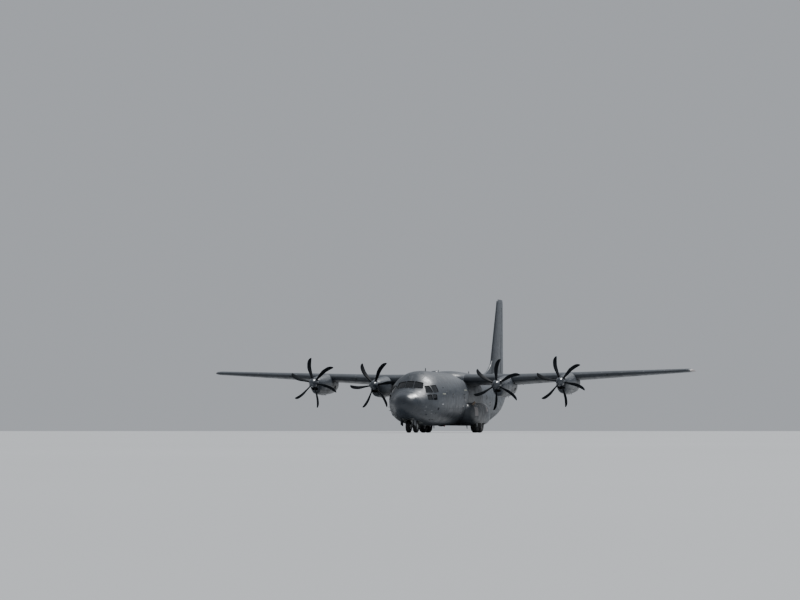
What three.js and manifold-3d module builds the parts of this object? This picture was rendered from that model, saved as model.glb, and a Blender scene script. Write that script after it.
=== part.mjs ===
// Four-engined military transport plane, a scale model at half size.
// Lengths are real metres: x to port, y aft of the nose tip, z above the ground.
// The last lines shrink the whole to half size and give millimetres.
import * as THREE from 'three';
import { mergeVertices } from 'three/addons/utils/BufferGeometryUtils.js';
import Module from 'manifold-3d';

const wasm = await Module();
wasm.setup();

const MODEL_SCALE = 0.5;
const MM_PER_METRE = 1000;

// Overall sizes of the real aircraft
const LENGTH = 34.37;
const HALF_SPAN = 20.205;
const HEIGHT = 11.81;

// Clearances, written at full size: the model has half of each
const SEAT = 0.0006;
const RUNNING = 0.012;
const END_GAP = 0.05;

// Fuselage: wall, floors and the stations where its sections meet
const WALL = 0.14;
const TAIL_WALL = 0.09;
const WINDOW_FRAME = 0.05;
const GLASS = 0.03;
const CARGO_FLOOR = 1.03;
const CARGO_FLOOR_DEPTH = 0.2;
const DECK_FLOOR = 2.4;
const DECK_FLOOR_DEPTH = 0.08;
const HOLD_HALF_WIDTH = 1.46;
const JOINT = { radome: 1.25, deck: 4.75, wing: 12.3, ramp: 21.8, hollowFront: 1.5, hollowEnd: 29.75 };
const RING_POINTS = 24;

// Columns: station, top, bottom, height of the widest line, half width, power of the lower curve
const FUSELAGE = [
  [0.0, 2.34, 2.06, 2.2, 0.14, 2],
  [0.12, 2.6, 1.8, 2.19, 0.43, 2],
  [0.4, 2.88, 1.54, 2.17, 0.74, 2],
  [0.8, 3.06, 1.31, 2.16, 0.98, 2],
  [1.25, 3.21, 1.12, 2.18, 1.22, 2.1],
  [1.8, 3.38, 0.96, 2.25, 1.46, 2.2],
  [2.45, 3.9, 0.83, 2.36, 1.7, 2.3],
  [3.05, 4.36, 0.74, 2.48, 1.88, 2.4],
  [3.7, 4.67, 0.67, 2.6, 2.02, 2.5],
  [4.75, 4.85, 0.6, 2.7, 2.13, 2.6],
  [6.2, 4.9, 0.58, 2.74, 2.16, 2.6],
  [21.8, 4.9, 0.58, 2.74, 2.16, 2.6],
  [23.5, 4.9, 0.93, 2.82, 2.14, 2.8],
  [25.15, 4.9, 1.38, 2.98, 2.06, 3],
  [27.0, 4.88, 2.22, 3.3, 1.86, 3],
  [29.6, 4.84, 3.38, 3.98, 1.42, 2.8],
  [31.5, 4.8, 3.95, 4.34, 0.98, 2.4],
  [33.2, 4.76, 4.28, 4.5, 0.5, 2],
  [34.2, 4.7, 4.42, 4.55, 0.22, 2],
  [34.37, 4.64, 4.48, 4.56, 0.08, 2],
];

// Wing ribs. Columns: distance from the centre line, leading edge station and height,
// chord, thickness over chord, incidence in degrees
const WING = [
  [0, 13.3, 4.35, 4.88, 0.18, 3],
  [5.6, 13.3, 4.35, 4.88, 0.18, 3],
  [19.75, 14.03, 4.97, 2.52, 0.12, 1],
  [20.1, 14.16, 4.99, 2.2, 0.09, 1],
  [HALF_SPAN, 14.4, 5.0, 1.7, 0.05, 1],
];
const WING_CAMBER = 0.02;
const TRAILING_EDGE = 0.004;
const WING_JOINT = 5.6;

// Tailplane ribs, same columns
const TAILPLANE = [
  [0, 28.6, 4.92, 4.45, 0.11, 0],
  [7.75, 31.1, 4.92, 1.9, 0.1, 0],
  [8.025, 31.4, 4.92, 1.4, 0.05, 0],
];

// Fin ribs. Columns: height, leading edge station, chord, thickness over chord
const FIN = [
  [4.5, 28.85, 5.17, 0.11],
  [11.35, 31.62, 2.35, 0.1],
  [11.68, 31.82, 2.1, 0.08],
  [HEIGHT, 32.15, 1.5, 0.04],
];

// Control surfaces of the wing. Columns: name, inner end, outer end, hinge as a part of the chord
const FLAPS = [
  ['inboard', 2.42, 5.55, 0.74],
  ['outboard', 5.65, 12.3, 0.74],
];
const FLAP_PIVOT_DROP = 0.6;
const FLAP_TRAVEL_DEG = 36;
const AILERON = { inner: 12.45, outer: 19.35, hinge: 0.75 };
const TAIL_SKIN = 0.035;
const ELEVATOR = { inner: 0.75, outer: 7.6, hingeStation: 31.85 };
const RUDDER = { lower: 5.32, upper: 11.1, hingeLower: 32.35, hingeUpper: 33.15 };

// Engines. Columns: name, distance from the centre line, height of the shaft, station of the propeller,
// degrees that the first blade stands from upright on the port and the starboard side
const ENGINES = [
  ['inboard', 5.1, 3.85, 10.0, 3, -35],
  ['outboard', 10.3, 4.07, 10.2, -15, -12],
];
// Nacelle sections. Columns: distance aft of the propeller, half width, top and bottom from the shaft
const NACELLE = [
  [0.312, 0.4, 0.4, -0.62],
  [0.7, 0.5, 0.5, -0.88],
  [1.7, 0.6, 0.62, -0.96],
  [3.3, 0.62, 0.78, -0.92],
  [5.0, 0.56, 0.7, -0.78],
  [6.0, 0.36, 0.4, -0.5],
];
const PROPELLER = { radius: 2.055, blades: 6, spinnerRadius: 0.37, spinnerFront: -0.66, spinnerBack: 0.3 };

// Wheels: radius, width, rim radius and where they stand
const MAIN_WHEEL = { radius: 0.71, width: 0.51, rim: 0.27, axle: 0.07, x: 2.19, stations: [14.6, 16.12] };
const NOSE_WHEEL = { radius: 0.495, width: 0.33, rim: 0.21, axle: 0.05, x: 0.29, station: 3.05 };
const MAIN_WELL = { inner: 1.62, outer: 2.5, front: 13.75, back: 16.97, top: 2.2, sponsonTop: 1.95, liner: 0.1 };
const NOSE_WELL = { half: 0.76, frontHalf: 0.5, front: 1.42, step: 2.25, back: 3.85, top: 1.75, liner: 0.05 };

const paint = (color, roughness, metalness) =>
  new THREE.MeshStandardMaterial({ color, roughness, metalness });
const MATERIAL = {
  grey: paint(0x5d6671, 0.5, 0.2),
  dark: paint(0x2b2f35, 0.55, 0.1),
  glass: paint(0x10151b, 0.1, 0.0),
  metal: paint(0x9a9c9e, 0.35, 0.8),
  white: paint(0xc9ccce, 0.45, 0.2),
  tyre: paint(0x1b1b1c, 0.85, 0.0),
  floor: paint(0x6a6d6c, 0.6, 0.4),
  fabric: paint(0x3d423f, 0.9, 0.0),
};

const aircraft = new THREE.Group();

function addNode(name, solid, material) {
  const mesh = new THREE.Mesh(toGeometry(solid), MATERIAL[material]);
  mesh.name = name;
  aircraft.add(mesh);
}

// Closed geometry to a solid that can be joined and cut
function toSolid(geometry) {
  const bare = new THREE.BufferGeometry();
  bare.setAttribute('position', geometry.getAttribute('position'));
  bare.setIndex(geometry.index);
  const merged = mergeVertices(bare, 1e-5);
  const vertProperties = Float32Array.from(merged.getAttribute('position').array);
  const triVerts = Uint32Array.from(merged.index.array);
  return new wasm.Manifold(new wasm.Mesh({ numProp: 3, vertProperties, triVerts }));
}

function toGeometry(solid) {
  const mesh = solid.getMesh();
  const geometry = new THREE.BufferGeometry();
  geometry.setAttribute('position', new THREE.BufferAttribute(mesh.vertProperties, 3));
  geometry.setIndex(new THREE.BufferAttribute(mesh.triVerts, 1));
  geometry.computeVertexNormals();
  return geometry;
}

// The largest of the bodies that a cut leaves
function largest(solid) {
  const bodies = solid.decompose();
  return bodies.reduce((best, body) => (body.volume() > best.volume() ? body : best));
}

// Skin through rings of equal point count, closed by a fan at each end
function loft(rings) {
  const count = rings[0].length;
  const positions = rings.flat(2);
  const faces = [];
  const middle = (ring) => [0, 1, 2].map((k) => ring.reduce((sum, p) => sum + p[k], 0) / count);
  for (let r = 0; r + 1 < rings.length; r += 1) {
    for (let i = 0; i < count; i += 1) {
      const j = (i + 1) % count;
      const [a, b, c, d] = [r * count + i, r * count + j, (r + 1) * count + j, (r + 1) * count + i];
      faces.push(a, b, c, a, c, d);
    }
  }
  const last = rings.length - 1;
  const frontMiddle = rings.length * count;
  positions.push(...middle(rings[0]), ...middle(rings[last]));
  for (let i = 0; i < count; i += 1) {
    const j = (i + 1) % count;
    faces.push(frontMiddle, j, i);
    faces.push(frontMiddle + 1, last * count + i, last * count + j);
  }
  const point = (index) => new THREE.Vector3().fromArray(positions, index * 3);
  let volume = 0;
  for (let f = 0; f < faces.length; f += 3) {
    volume += point(faces[f]).dot(point(faces[f + 1]).cross(point(faces[f + 2])));
  }
  const geometry = new THREE.BufferGeometry();
  geometry.setAttribute('position', new THREE.Float32BufferAttribute(positions, 3));
  geometry.setIndex(volume > 0 ? faces : faces.reverse());
  return toSolid(geometry);
}

// Flat outline pushed along one axis. Outline points are (y, z) for x, (x, z) for y, (x, y) for z
function prism(axis, outline, from, to) {
  const shape = new THREE.Shape(outline.map(([u, v]) => new THREE.Vector2(u, v)));
  const geometry = new THREE.ExtrudeGeometry(shape, { depth: to - from, bevelEnabled: false });
  const turn = new THREE.Matrix4();
  if (axis === 'x') turn.set(0, 0, 1, from, 1, 0, 0, 0, 0, 1, 0, 0, 0, 0, 0, 1);
  if (axis === 'y') turn.set(1, 0, 0, 0, 0, 0, -1, to, 0, 1, 0, 0, 0, 0, 0, 1);
  if (axis === 'z') turn.set(1, 0, 0, 0, 0, 1, 0, 0, 0, 0, 1, from, 0, 0, 0, 1);
  geometry.applyMatrix4(turn);
  return toSolid(geometry);
}

function box([x0, x1], [y0, y1], [z0, z1]) {
  return prism('z', [[x0, y0], [x1, y0], [x1, y1], [x0, y1]], z0, z1);
}

// Round bar between two points, with its own radius at each end
function bar(from, to, radiusFrom, radiusTo = radiusFrom, sides = 12) {
  const start = new THREE.Vector3(...from);
  const along = new THREE.Vector3(...to).sub(start);
  const geometry = new THREE.CylinderGeometry(radiusTo, radiusFrom, along.length(), sides);
  geometry.translate(0, along.length() / 2, 0);
  const turn = new THREE.Quaternion().setFromUnitVectors(new THREE.Vector3(0, 1, 0), along.clone().normalize());
  geometry.applyQuaternion(turn);
  geometry.translate(start.x, start.y, start.z);
  return toSolid(geometry);
}

// Turned solid whose profile is given as radius and place along x or y
function turned(profile, axis, centre, sides) {
  const geometry = new THREE.LatheGeometry(profile.map(([r, a]) => new THREE.Vector2(r, a)), sides);
  if (axis === 'x') geometry.rotateZ(-Math.PI / 2);
  geometry.translate(...centre);
  return toSolid(geometry);
}

const join = (...solids) => solids.reduce((sum, solid) => sum.add(solid));
const mirrored = (solid) => solid.mirror([1, 0, 0]);
const mix = (a, b, t) => a + (b - a) * t;

// Row of a table at a place between its rows
function rowAt(table, place) {
  const next = Math.max(1, table.findIndex((row) => row[0] >= place));
  const [low, high] = [table[next - 1], table[next]];
  const t = (place - low[0]) / (high[0] - low[0]);
  return low.map((value, k) => mix(value, high[k], t));
}

// Fuselage
function fuselageRing([station, top, bottom, widest, halfWidth, power], inset) {
  const ring = [];
  for (let i = 0; i < RING_POINTS; i += 1) {
    const angle = (2 * Math.PI * i) / RING_POINTS;
    const [side, up] = [Math.sin(angle), Math.cos(angle)];
    const exponent = up >= 0 ? 1 : 2 / power;
    const reach = up >= 0 ? top - inset - widest : widest - bottom - inset;
    const x = (halfWidth - inset) * Math.sign(side) * Math.abs(side) ** exponent;
    ring.push([x, station, widest + reach * Math.sign(up) * Math.abs(up) ** exponent]);
  }
  return ring;
}

function fuselageSolid(inset, front = 0, back = LENGTH) {
  const rows = FUSELAGE.filter((row) => row[0] > front && row[0] < back);
  const ends = [rowAt(FUSELAGE, front), ...rows, rowAt(FUSELAGE, back)];
  return loft(ends.map((row) => fuselageRing(row, inset)));
}

const between = (front, back) => box([-4, 4], [front, back], [-1, 13]);
const sidePrism = (outline, from, to) => prism('x', outline, from, to);

// Half thickness and middle line of an aerofoil, as parts of the chord, at a part u of the chord
const halfThickness = (u, thickness) =>
  5 * thickness * (0.2969 * Math.sqrt(u) - 0.126 * u - 0.3516 * u ** 2 + 0.2843 * u ** 3 - 0.1036 * u ** 4);
const middleLine = (u, camber, incidence) =>
  4 * camber * u * (1 - u) - u * Math.tan((incidence * Math.PI) / 180);

// Aerofoil ring in the (y, z) plane at x, grown outwards by a clearance
function wingRing([x, front, height, chord, thickness, incidence], grow, camber) {
  const parts = [1, 0.86, 0.72, 0.52, 0.32, 0.16, 0.06, 0.012];
  const at = (u, side) => {
    const half = side && Math.max(0.002, chord * (halfThickness(u, thickness) + TRAILING_EDGE / 2) + grow);
    const y = front - grow + u * (chord + 2 * grow);
    return [x, y, height + chord * middleLine(u, camber, incidence) + side * half];
  };
  return [...parts.map((u) => at(u, 1)), at(0, 0), ...parts.toReversed().map((u) => at(u, -1))];
}

function liftingSolid(table, places, grow, camber) {
  return loft(places.map((x) => wingRing([x, ...rowAt(table, Math.abs(x)).slice(1)], grow, camber)));
}

// Where the hinge line of a wing surface lies at x, and the half thickness there
function hingePoint(table, x, part, camber) {
  const [, front, height, chord, thickness, incidence] = rowAt(table, x);
  const z = height + chord * middleLine(part, camber, incidence);
  return { point: [x, front + part * chord, z], radius: 0.9 * chord * halfThickness(part, thickness) };
}

// Hinged surface cut out of a port half: the surface itself, and the room it needs
function hingedSurface(whole, inner, outer, gap) {
  const [a, b] = [inner.point, outer.point];
  const lerp = (x, k) => mix(a[k], b[k], (x - a[0]) / (b[0] - a[0]));
  const [xIn, xOut] = [a[0] + gap, b[0] - gap];
  const behind = 40;
  const plan = [[xIn, lerp(xIn, 1)], [xOut, lerp(xOut, 1)], [xOut, behind], [xIn, behind]];
  const endA = [xIn, lerp(xIn, 1), lerp(xIn, 2)];
  const endB = [xOut, lerp(xOut, 1), lerp(xOut, 2)];
  const nose = bar(a, b, inner.radius, outer.radius).intersect(box([xIn, xOut], [0, 40], [-1, 20]));
  const surface = join(whole.intersect(prism('z', plan, -1, 20)), nose);
  const clear = RUNNING + 0.01;
  const room = [
    [a[0], a[1] - inner.radius - clear], [b[0], b[1] - outer.radius - clear], [b[0], behind], [a[0], behind],
  ];
  return { surface, room: prism('z', room, -1, 20), endA, endB };
}

// Pins on the hinge line that reach from the surface to its seat at each end
function hingePins({ endA, endB }, gap, radius) {
  const along = new THREE.Vector3(...endB).sub(new THREE.Vector3(...endA)).normalize();
  const reach = (end, side, depth) => end.map((value, k) => value + side * depth * along.getComponent(k));
  const pin = (end, side) => bar(reach(end, side, -0.1), reach(end, side, gap + 0.02), radius, radius, 8);
  const span = [endA[0] - gap + SEAT, endB[0] + gap - SEAT];
  return join(pin(endA, -1), pin(endB, 1)).intersect(box(span, [0, 40], [-1, 20]));
}

// Flap tracks: curved plates at both ends of a flap, about the flap's axis
function flapTrack(x, thickness, pinPoint, axisPoint) {
  const radius = Math.hypot(pinPoint[1] - axisPoint[1], pinPoint[2] - axisPoint[2]);
  const first = Math.atan2(pinPoint[2] - axisPoint[2], pinPoint[1] - axisPoint[1]);
  const [lead, last, half, steps] = [0.32, (FLAP_TRAVEL_DEG * Math.PI) / 180 + 0.06, 0.035, 8];
  const outline = [];
  for (let i = 0; i <= steps; i += 1) {
    const angle = first + mix(lead, -last, i / steps);
    outline.push([axisPoint[1] + (radius + half) * Math.cos(angle), axisPoint[2] + (radius + half) * Math.sin(angle)]);
  }
  for (let i = steps; i >= 0; i -= 1) {
    const angle = first + mix(lead, -last, i / steps);
    outline.push([axisPoint[1] + (radius - half) * Math.cos(angle), axisPoint[2] + (radius - half) * Math.sin(angle)]);
  }
  return prism('x', outline.toReversed(), x - thickness / 2, x + thickness / 2);
}

// Wing: a centre section, two outer wings, four flaps and two ailerons
const wingPlaces = {
  centre: [-WING_JOINT, WING_JOINT],
  outer: [WING_JOINT + SEAT, 12.4, 19.75, 20.1, HALF_SPAN],
};
let centreWing = liftingSolid(WING, wingPlaces.centre, 0, WING_CAMBER);
let outerWing = liftingSolid(WING, wingPlaces.outer, 0, WING_CAMBER);
const wingClearance = liftingSolid(WING, [-WING_JOINT, WING_JOINT, 12.4, 19.75], SEAT, WING_CAMBER);
const TRACK_PLATE = 0.05;
for (const [name, inner, outer, part] of FLAPS) {
  const whole = name === 'inboard' ? centreWing : outerWing;
  const [a, b] = [hingePoint(WING, inner, part, WING_CAMBER), hingePoint(WING, outer, part, WING_CAMBER)];
  const flapGap = TRACK_PLATE + RUNNING;
  const { surface, room, endA, endB } = hingedSurface(whole, a, b, flapGap);
  const axisHeight = Math.min(endA[2], endB[2]) - FLAP_PIVOT_DROP;
  const axisStation = (endA[1] + endB[1]) / 2;
  const pin = (end, side) => {
    const tip = end[0] + side * (RUNNING - SEAT);
    return bar([end[0] - side * 0.1, end[1], end[2]], [tip, end[1], end[2]], 0.02, 0.02, 8);
  };
  const flap = join(surface, pin(endA, -1), pin(endB, 1));
  const tracks = [[endA, -1], [endB, 1]].map(([end, side]) =>
    flapTrack(end[0] + side * (RUNNING + TRACK_PLATE / 2), TRACK_PLATE, end, [0, axisStation, axisHeight]));
  if (name === 'inboard') {
    centreWing = centreWing.subtract(room).subtract(mirrored(room));
    for (const track of tracks) centreWing = centreWing.add(track).add(mirrored(track));
  } else {
    outerWing = outerWing.subtract(room);
    for (const track of tracks) outerWing = outerWing.add(track);
  }
  addNode(`flap_${name}_port`, flap, 'grey');
  addNode(`flap_${name}_starboard`, mirrored(flap), 'grey');
}
{
  const inner = hingePoint(WING, AILERON.inner, AILERON.hinge, WING_CAMBER);
  const outer = hingePoint(WING, AILERON.outer, AILERON.hinge, WING_CAMBER);
  const cut = hingedSurface(outerWing, inner, outer, END_GAP);
  const aileron = join(cut.surface, hingePins(cut, END_GAP, 0.016));
  outerWing = outerWing.subtract(cut.room);
  addNode('aileron_port', aileron, 'grey');
  addNode('aileron_starboard', mirrored(aileron), 'grey');
}
addNode('wing_centre', largest(centreWing), 'grey');
addNode('wing_outer_port', largest(outerWing), 'grey');
addNode('wing_outer_starboard', mirrored(largest(outerWing)), 'grey');

// Tailplane with its two elevators
let tailplane = liftingSolid(TAILPLANE, [-8.025, -7.75, 0, 7.75, 8.025], 0, 0);
const tailplaneClearance = liftingSolid(TAILPLANE, [-8.025, -7.75, 0, 7.75, 8.025], SEAT, 0);
{
  const hinge = (x) => {
    const [, front, , chord] = rowAt(TAILPLANE, x);
    return hingePoint(TAILPLANE, x, (ELEVATOR.hingeStation - front) / chord, 0);
  };
  const port = liftingSolid(TAILPLANE, [0, 7.75, 8.025], 0, 0);
  const cut = hingedSurface(port, hinge(ELEVATOR.inner), hinge(ELEVATOR.outer), END_GAP);
  const elevator = join(cut.surface, hingePins(cut, END_GAP, 0.025));
  // The box between the spars is hollow, through the middle too, and opens behind the rear spar
  const betweenSpars = join(box([-8, 8], [0, 31.5], [0, 6]), box([-8, -0.8], [31.4, 31.95], [0, 6]),
    box([0.8, 8], [31.4, 31.95], [0, 6]));
  const hollow = liftingSolid(TAILPLANE, [-7.5, 0, 7.5], -TAIL_SKIN, 0).intersect(betweenSpars);
  tailplane = tailplane.subtract(cut.room).subtract(mirrored(cut.room)).subtract(hollow);
  addNode('elevator_port', elevator, 'grey');
  addNode('elevator_starboard', mirrored(elevator), 'grey');
}
addNode('tailplane', largest(tailplane), 'grey');

// Fin with its dorsal fillet, and the rudder
const finRing = ([height, front, chord, thickness], grow = 0) =>
  wingRing([0, front, 0, chord, thickness, 0], grow, 0).map(([, y, half]) => [half, y, height]);
const wholeFin = loft(FIN.map((row) => finRing(row)));
const finHollow = loft([5.3, 11.0].map((height) => finRing(rowAt(FIN, height), -TAIL_SKIN)));
const fillet = sidePrism([[25.7, 4.6], [29.6, 4.6], [29.6, 6.3], [28.4, 5.55], [25.7, 4.92]], -0.08, 0.08);
const fuselageClearance = fuselageSolid(-SEAT);
{
  const low = [0, RUDDER.hingeLower, RUDDER.lower];
  const high = [0, RUDDER.hingeUpper, RUDDER.upper];
  const along = new THREE.Vector3(...high).sub(new THREE.Vector3(...low)).normalize();
  const across = [along.z, -along.y];
  const onAxis = (end, step) => [0, end[1] + along.y * step, end[2] + along.z * step];
  const radiusAt = (height) => {
    const [, front, chord, thickness] = rowAt(FIN, height);
    const hingeStation = mix(low[1], high[1], (height - low[2]) / (high[2] - low[2]));
    return hingePoint([[0, front, 0, chord, thickness, 0], [1, front, 0, chord, thickness, 0]], 0,
      (hingeStation - front) / chord, 0).radius;
  };
  const outline = (from, to, forward) => {
    const [a, b] = [onAxis(low, from), onAxis(high, to)];
    const shifted = (p, step) => [p[1] + across[0] * step, p[2] + across[1] * step];
    return [shifted(a, -forward), shifted(a, 6), shifted(b, 6), shifted(b, -forward)];
  };
  const radii = [radiusAt(low[2]), radiusAt(high[2])];
  const [surfaceLow, surfaceHigh] = [onAxis(low, END_GAP), onAxis(high, -END_GAP)];
  const surface = join(
    wholeFin.intersect(sidePrism(outline(END_GAP, -END_GAP, 0), -1, 1)),
    bar(surfaceLow, surfaceHigh, radii[0], radii[1]),
    bar(onAxis(low, SEAT), surfaceLow, 0.03, 0.03, 8),
    bar(surfaceHigh, onAxis(high, -SEAT), 0.03, 0.03, 8),
  );
  const fin = join(wholeFin, fillet)
    .subtract(sidePrism(outline(0, 0, radii[0] + RUNNING + 0.01), -1, 1))
    .subtract(finHollow)
    .subtract(fuselageClearance)
    .subtract(tailplaneClearance);
  addNode('fin', largest(fin), 'grey');
  addNode('rudder', surface, 'grey');
}

// Fuselage shells, hollow from the flight deck to the end of the cargo door
const outside = fuselageSolid(0);
const inside = fuselageSolid(WALL, JOINT.hollowFront, JOINT.hollowEnd);
const shell = outside.subtract(inside);
const section = (front, back) => shell.intersect(between(front + SEAT / 2, back - SEAT / 2));

addNode('radome', outside.intersect(between(-1, JOINT.radome - SEAT / 2)), 'grey');

// Windows of the flight deck. Front panes as (x, z), side panes as (y, z), all on the port side
const FRONT_PANES = [
  [[0.36, 3.5], [1.02, 3.44], [0.94, 3.9], [0.36, 4.02]],
];
const CENTRE_PANE = [[-0.3, 3.5], [0.3, 3.5], [0.3, 4.03], [-0.3, 4.03]];
const SIDE_PANES = [
  [[2.28, 3.12], [2.92, 3.14], [2.92, 3.66], [2.56, 3.6]],
  [[3.02, 3.14], [3.72, 3.18], [3.72, 3.74], [3.02, 3.68]],
  [[2.1, 2.58], [2.66, 2.56], [2.66, 2.98], [2.2, 2.94]],
  [[2.76, 2.56], [3.34, 2.56], [3.34, 3.0], [2.76, 2.99]],
];
const WINDOW_ZONE = [[1.72, 3.2], [1.98, 2.5], [3.86, 2.5], [3.86, 4.25], [1.72, 4.25]];
const glazingZone = sidePrism(WINDOW_ZONE, -2.2, 2.2);
const grown = (outline, by) => {
  const [cy, cz] = [0, 1].map((k) => outline.reduce((sum, p) => sum + p[k], 0) / outline.length);
  return outline.map(([y, z]) => [y + Math.sign(y - cy) * by, z + Math.sign(z - cz) * by]);
};
const glazingRoom = sidePrism(grown(WINDOW_ZONE, SEAT), -2.2, 2.2);
const pocket = fuselageSolid(WINDOW_FRAME, 1.4, 4.2).subtract(fuselageSolid(WALL + 0.01, 1.4, 4.2));
const glazing = fuselageSolid(WINDOW_FRAME + SEAT, 1.4, 4.2).subtract(fuselageSolid(WINDOW_FRAME + GLASS, 1.4, 4.2));

let windows = prism('y', CENTRE_PANE, 1.6, 3.3);
for (const pane of FRONT_PANES) {
  const cutter = prism('y', pane, 1.6, 3.3);
  windows = join(windows, cutter, mirrored(cutter));
}
for (const pane of SIDE_PANES) {
  const cutter = sidePrism(pane, 0.9, 2.4);
  windows = join(windows, cutter, mirrored(cutter));
}

// Nose section with the nose wheel well, the entrance floor and the crew door's opening
// The crew door is set square to its hinge rod, which follows the narrowing nose
const CREW_DOOR = { front: -0.38, back: 0.38, sill: 1.04, head: 2.18, x: 1.39, station: 3.63, yaw: -13 };
const HINGE_ROD = 0.018;
const doorOutline = (door, by, sillBy = by) => [
  [door.front - by, door.sill - sillBy], [door.back + by, door.sill - sillBy],
  [door.back + by, door.head + by], [door.front - by, door.head + by],
];
const atCrewDoor = (solid) => solid.rotate([0, 0, CREW_DOOR.yaw]).translate([CREW_DOOR.x, CREW_DOOR.station, 0]);
const crewDoorPrism = (by, sillBy) => atCrewDoor(sidePrism(doorOutline(CREW_DOOR, by, sillBy), -0.7, 1));
const crewHingeHeight = CREW_DOOR.sill - HINGE_ROD - SEAT;
const crewHingeRod = atCrewDoor(join(
  bar([0, -0.34, crewHingeHeight], [0, 0.34, crewHingeHeight], HINGE_ROD, HINGE_ROD, 8),
  box([-0.12, 0], [-0.34, 0.34], [CREW_DOOR.sill - 0.055, crewHingeHeight - HINGE_ROD / 2]),
));
const noseWell = (by) => join(
  box([-NOSE_WELL.half - by, NOSE_WELL.half + by], [NOSE_WELL.step - by, NOSE_WELL.back + by], [-1, NOSE_WELL.top + by]),
  box([-NOSE_WELL.frontHalf - by, NOSE_WELL.frontHalf + by], [NOSE_WELL.front - by, NOSE_WELL.step + 0.1],
    [-1, NOSE_WELL.top + by]),
);
const entranceFloor = inside.intersect(box([-3, 3], [2.9, JOINT.deck], [CARGO_FLOOR - 0.12, CARGO_FLOOR]));
const noseBand = between(JOINT.radome + SEAT / 2, JOINT.deck - SEAT / 2);
const nose = join(shell, outside.intersect(noseWell(NOSE_WELL.liner)), entranceFloor)
  .intersect(noseBand)
  .subtract(noseWell(0))
  .subtract(pocket.intersect(glazingRoom))
  .subtract(windows)
  .subtract(crewDoorPrism(RUNNING, 0.03))
  .add(crewHingeRod);
addNode('nose_fuselage', largest(nose), 'grey');
addNode('flight_deck_glazing', largest(glazing.intersect(glazingZone)), 'glass');

const crewHingeLeaf = atCrewDoor(join(...[-0.25, 0.25].map((y) =>
  box([-0.1, HINGE_ROD], [y - 0.05, y + 0.05], [CREW_DOOR.sill, CREW_DOOR.sill + 0.06]))));
addNode('crew_door', largest(shell.intersect(crewDoorPrism(0, 0)).add(crewHingeLeaf)), 'grey');

addNode('forward_fuselage', section(JOINT.deck, JOINT.wing), 'grey');

// Centre section: wing seat, wheel recesses with their liners, paratroop door openings
const PARA_DOOR = { front: 19.65, back: 20.56, sill: 1.06, head: 2.89 };
const paraPrism = (by) => sidePrism(doorOutline(PARA_DOOR, by), 0.9, 2.6);
const wellBox = (by) => box([MAIN_WELL.inner - by, 3], [MAIN_WELL.front - by, MAIN_WELL.back + by],
  [-1, MAIN_WELL.top + by]);
const bothSides = (solid) => join(solid, mirrored(solid));
const WING_SEAT = { front: 12.95, back: 18.6, height: 4.26 };
const wingSeat = (by) => box([-3, 3], [WING_SEAT.front - by, WING_SEAT.back + by], [WING_SEAT.height - by, 6]);
const centreBand = between(JOINT.wing + SEAT / 2, JOINT.ramp - SEAT / 2);
const centreShell = join(shell, outside.intersect(bothSides(wellBox(MAIN_WELL.liner))))
  .intersect(centreBand)
  .subtract(bothSides(wellBox(0)))
  .subtract(bothSides(paraPrism(SEAT)))
  .subtract(wingSeat(0))
  .subtract(wingClearance);
const paraDoor = largest(shell.intersect(paraPrism(0)));
addNode('paratroop_door_port', paraDoor, 'grey');
addNode('paratroop_door_starboard', mirrored(paraDoor), 'grey');

// Ramp and cargo door: outlines in side view, half widths in plan
// Each turns on a rod along its edge: the ramp at its front, the door at its back
const RAMP = { half: 1.5, back: 24.9, backHeight: 1.75, hinge: [21.82, 0.62] };
const CARGO_DOOR = { frontHalf: 1.45, backHalf: 0.9, front: 24.6, frontHeight: 1.76, hinge: [29.735, 3.66] };
const LARGE_ROD = 0.022;
const BELOW = 0.3;
// The ramp's back edge and the door's front edge lean forward, along the path of the door's edge
const EDGE_LEAN = 0.45;
const leanTo = (station, height, low) => station + (height - low) * EDGE_LEAN;
const rampFront = RAMP.hinge[0] + LARGE_ROD + SEAT;
const doorFront = RAMP.back + 0.045;
const doorBack = CARGO_DOOR.hinge[0] - LARGE_ROD - SEAT;
const rampPrism = (by, frontBy) => sidePrism([
  [rampFront - frontBy, CARGO_FLOOR + by], [rampFront - frontBy, BELOW],
  [leanTo(RAMP.back, RAMP.backHeight, BELOW) + by, BELOW], [RAMP.back + by, RAMP.backHeight + by],
], -RAMP.half - by, RAMP.half + by);
const cargoPrism = (by) => sidePrism([
  [leanTo(doorFront, CARGO_DOOR.frontHeight, BELOW) - by, BELOW], [doorBack + by, BELOW],
  [doorBack + by, CARGO_DOOR.hinge[1] + 2 * by], [doorFront - by, CARGO_DOOR.frontHeight + 2 * by],
], -2, 2).intersect(prism('z', [
  [-CARGO_DOOR.frontHalf - by, CARGO_DOOR.front], [CARGO_DOOR.frontHalf + by, CARGO_DOOR.front],
  [CARGO_DOOR.backHalf + by, doorBack + by], [-CARGO_DOOR.backHalf - by, doorBack + by],
], -1, 6));
const rod = ([station, height], half) => bar([-half, station, height], [half, station, height], LARGE_ROD, LARGE_ROD, 8);
// Behind the bulkhead that carries the door the tail cone is hollow too, through an opening in it
const tailCone = join(
  fuselageSolid(TAIL_WALL, JOINT.hollowEnd + 0.2, 32.4), box([-0.5, 0.5], [29.5, 30.2], [4.0, 4.5]),
);
const tail = shell.intersect(between(JOINT.ramp + SEAT / 2, LENGTH + 1))
  .subtract(fuselageSolid(TAIL_WALL, JOINT.ramp + 0.3, JOINT.hollowEnd))
  .subtract(tailCone)
  .subtract(rampPrism(RUNNING, 0.2))
  .subtract(cargoPrism(RUNNING))
  .subtract(tailplaneClearance)
  .add(rod(CARGO_DOOR.hinge, 0.5));
addNode('centre_fuselage', largest(centreShell).add(rod(RAMP.hinge, 0.4)), 'grey');
addNode('tail_fuselage', largest(tail), 'grey');
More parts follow.
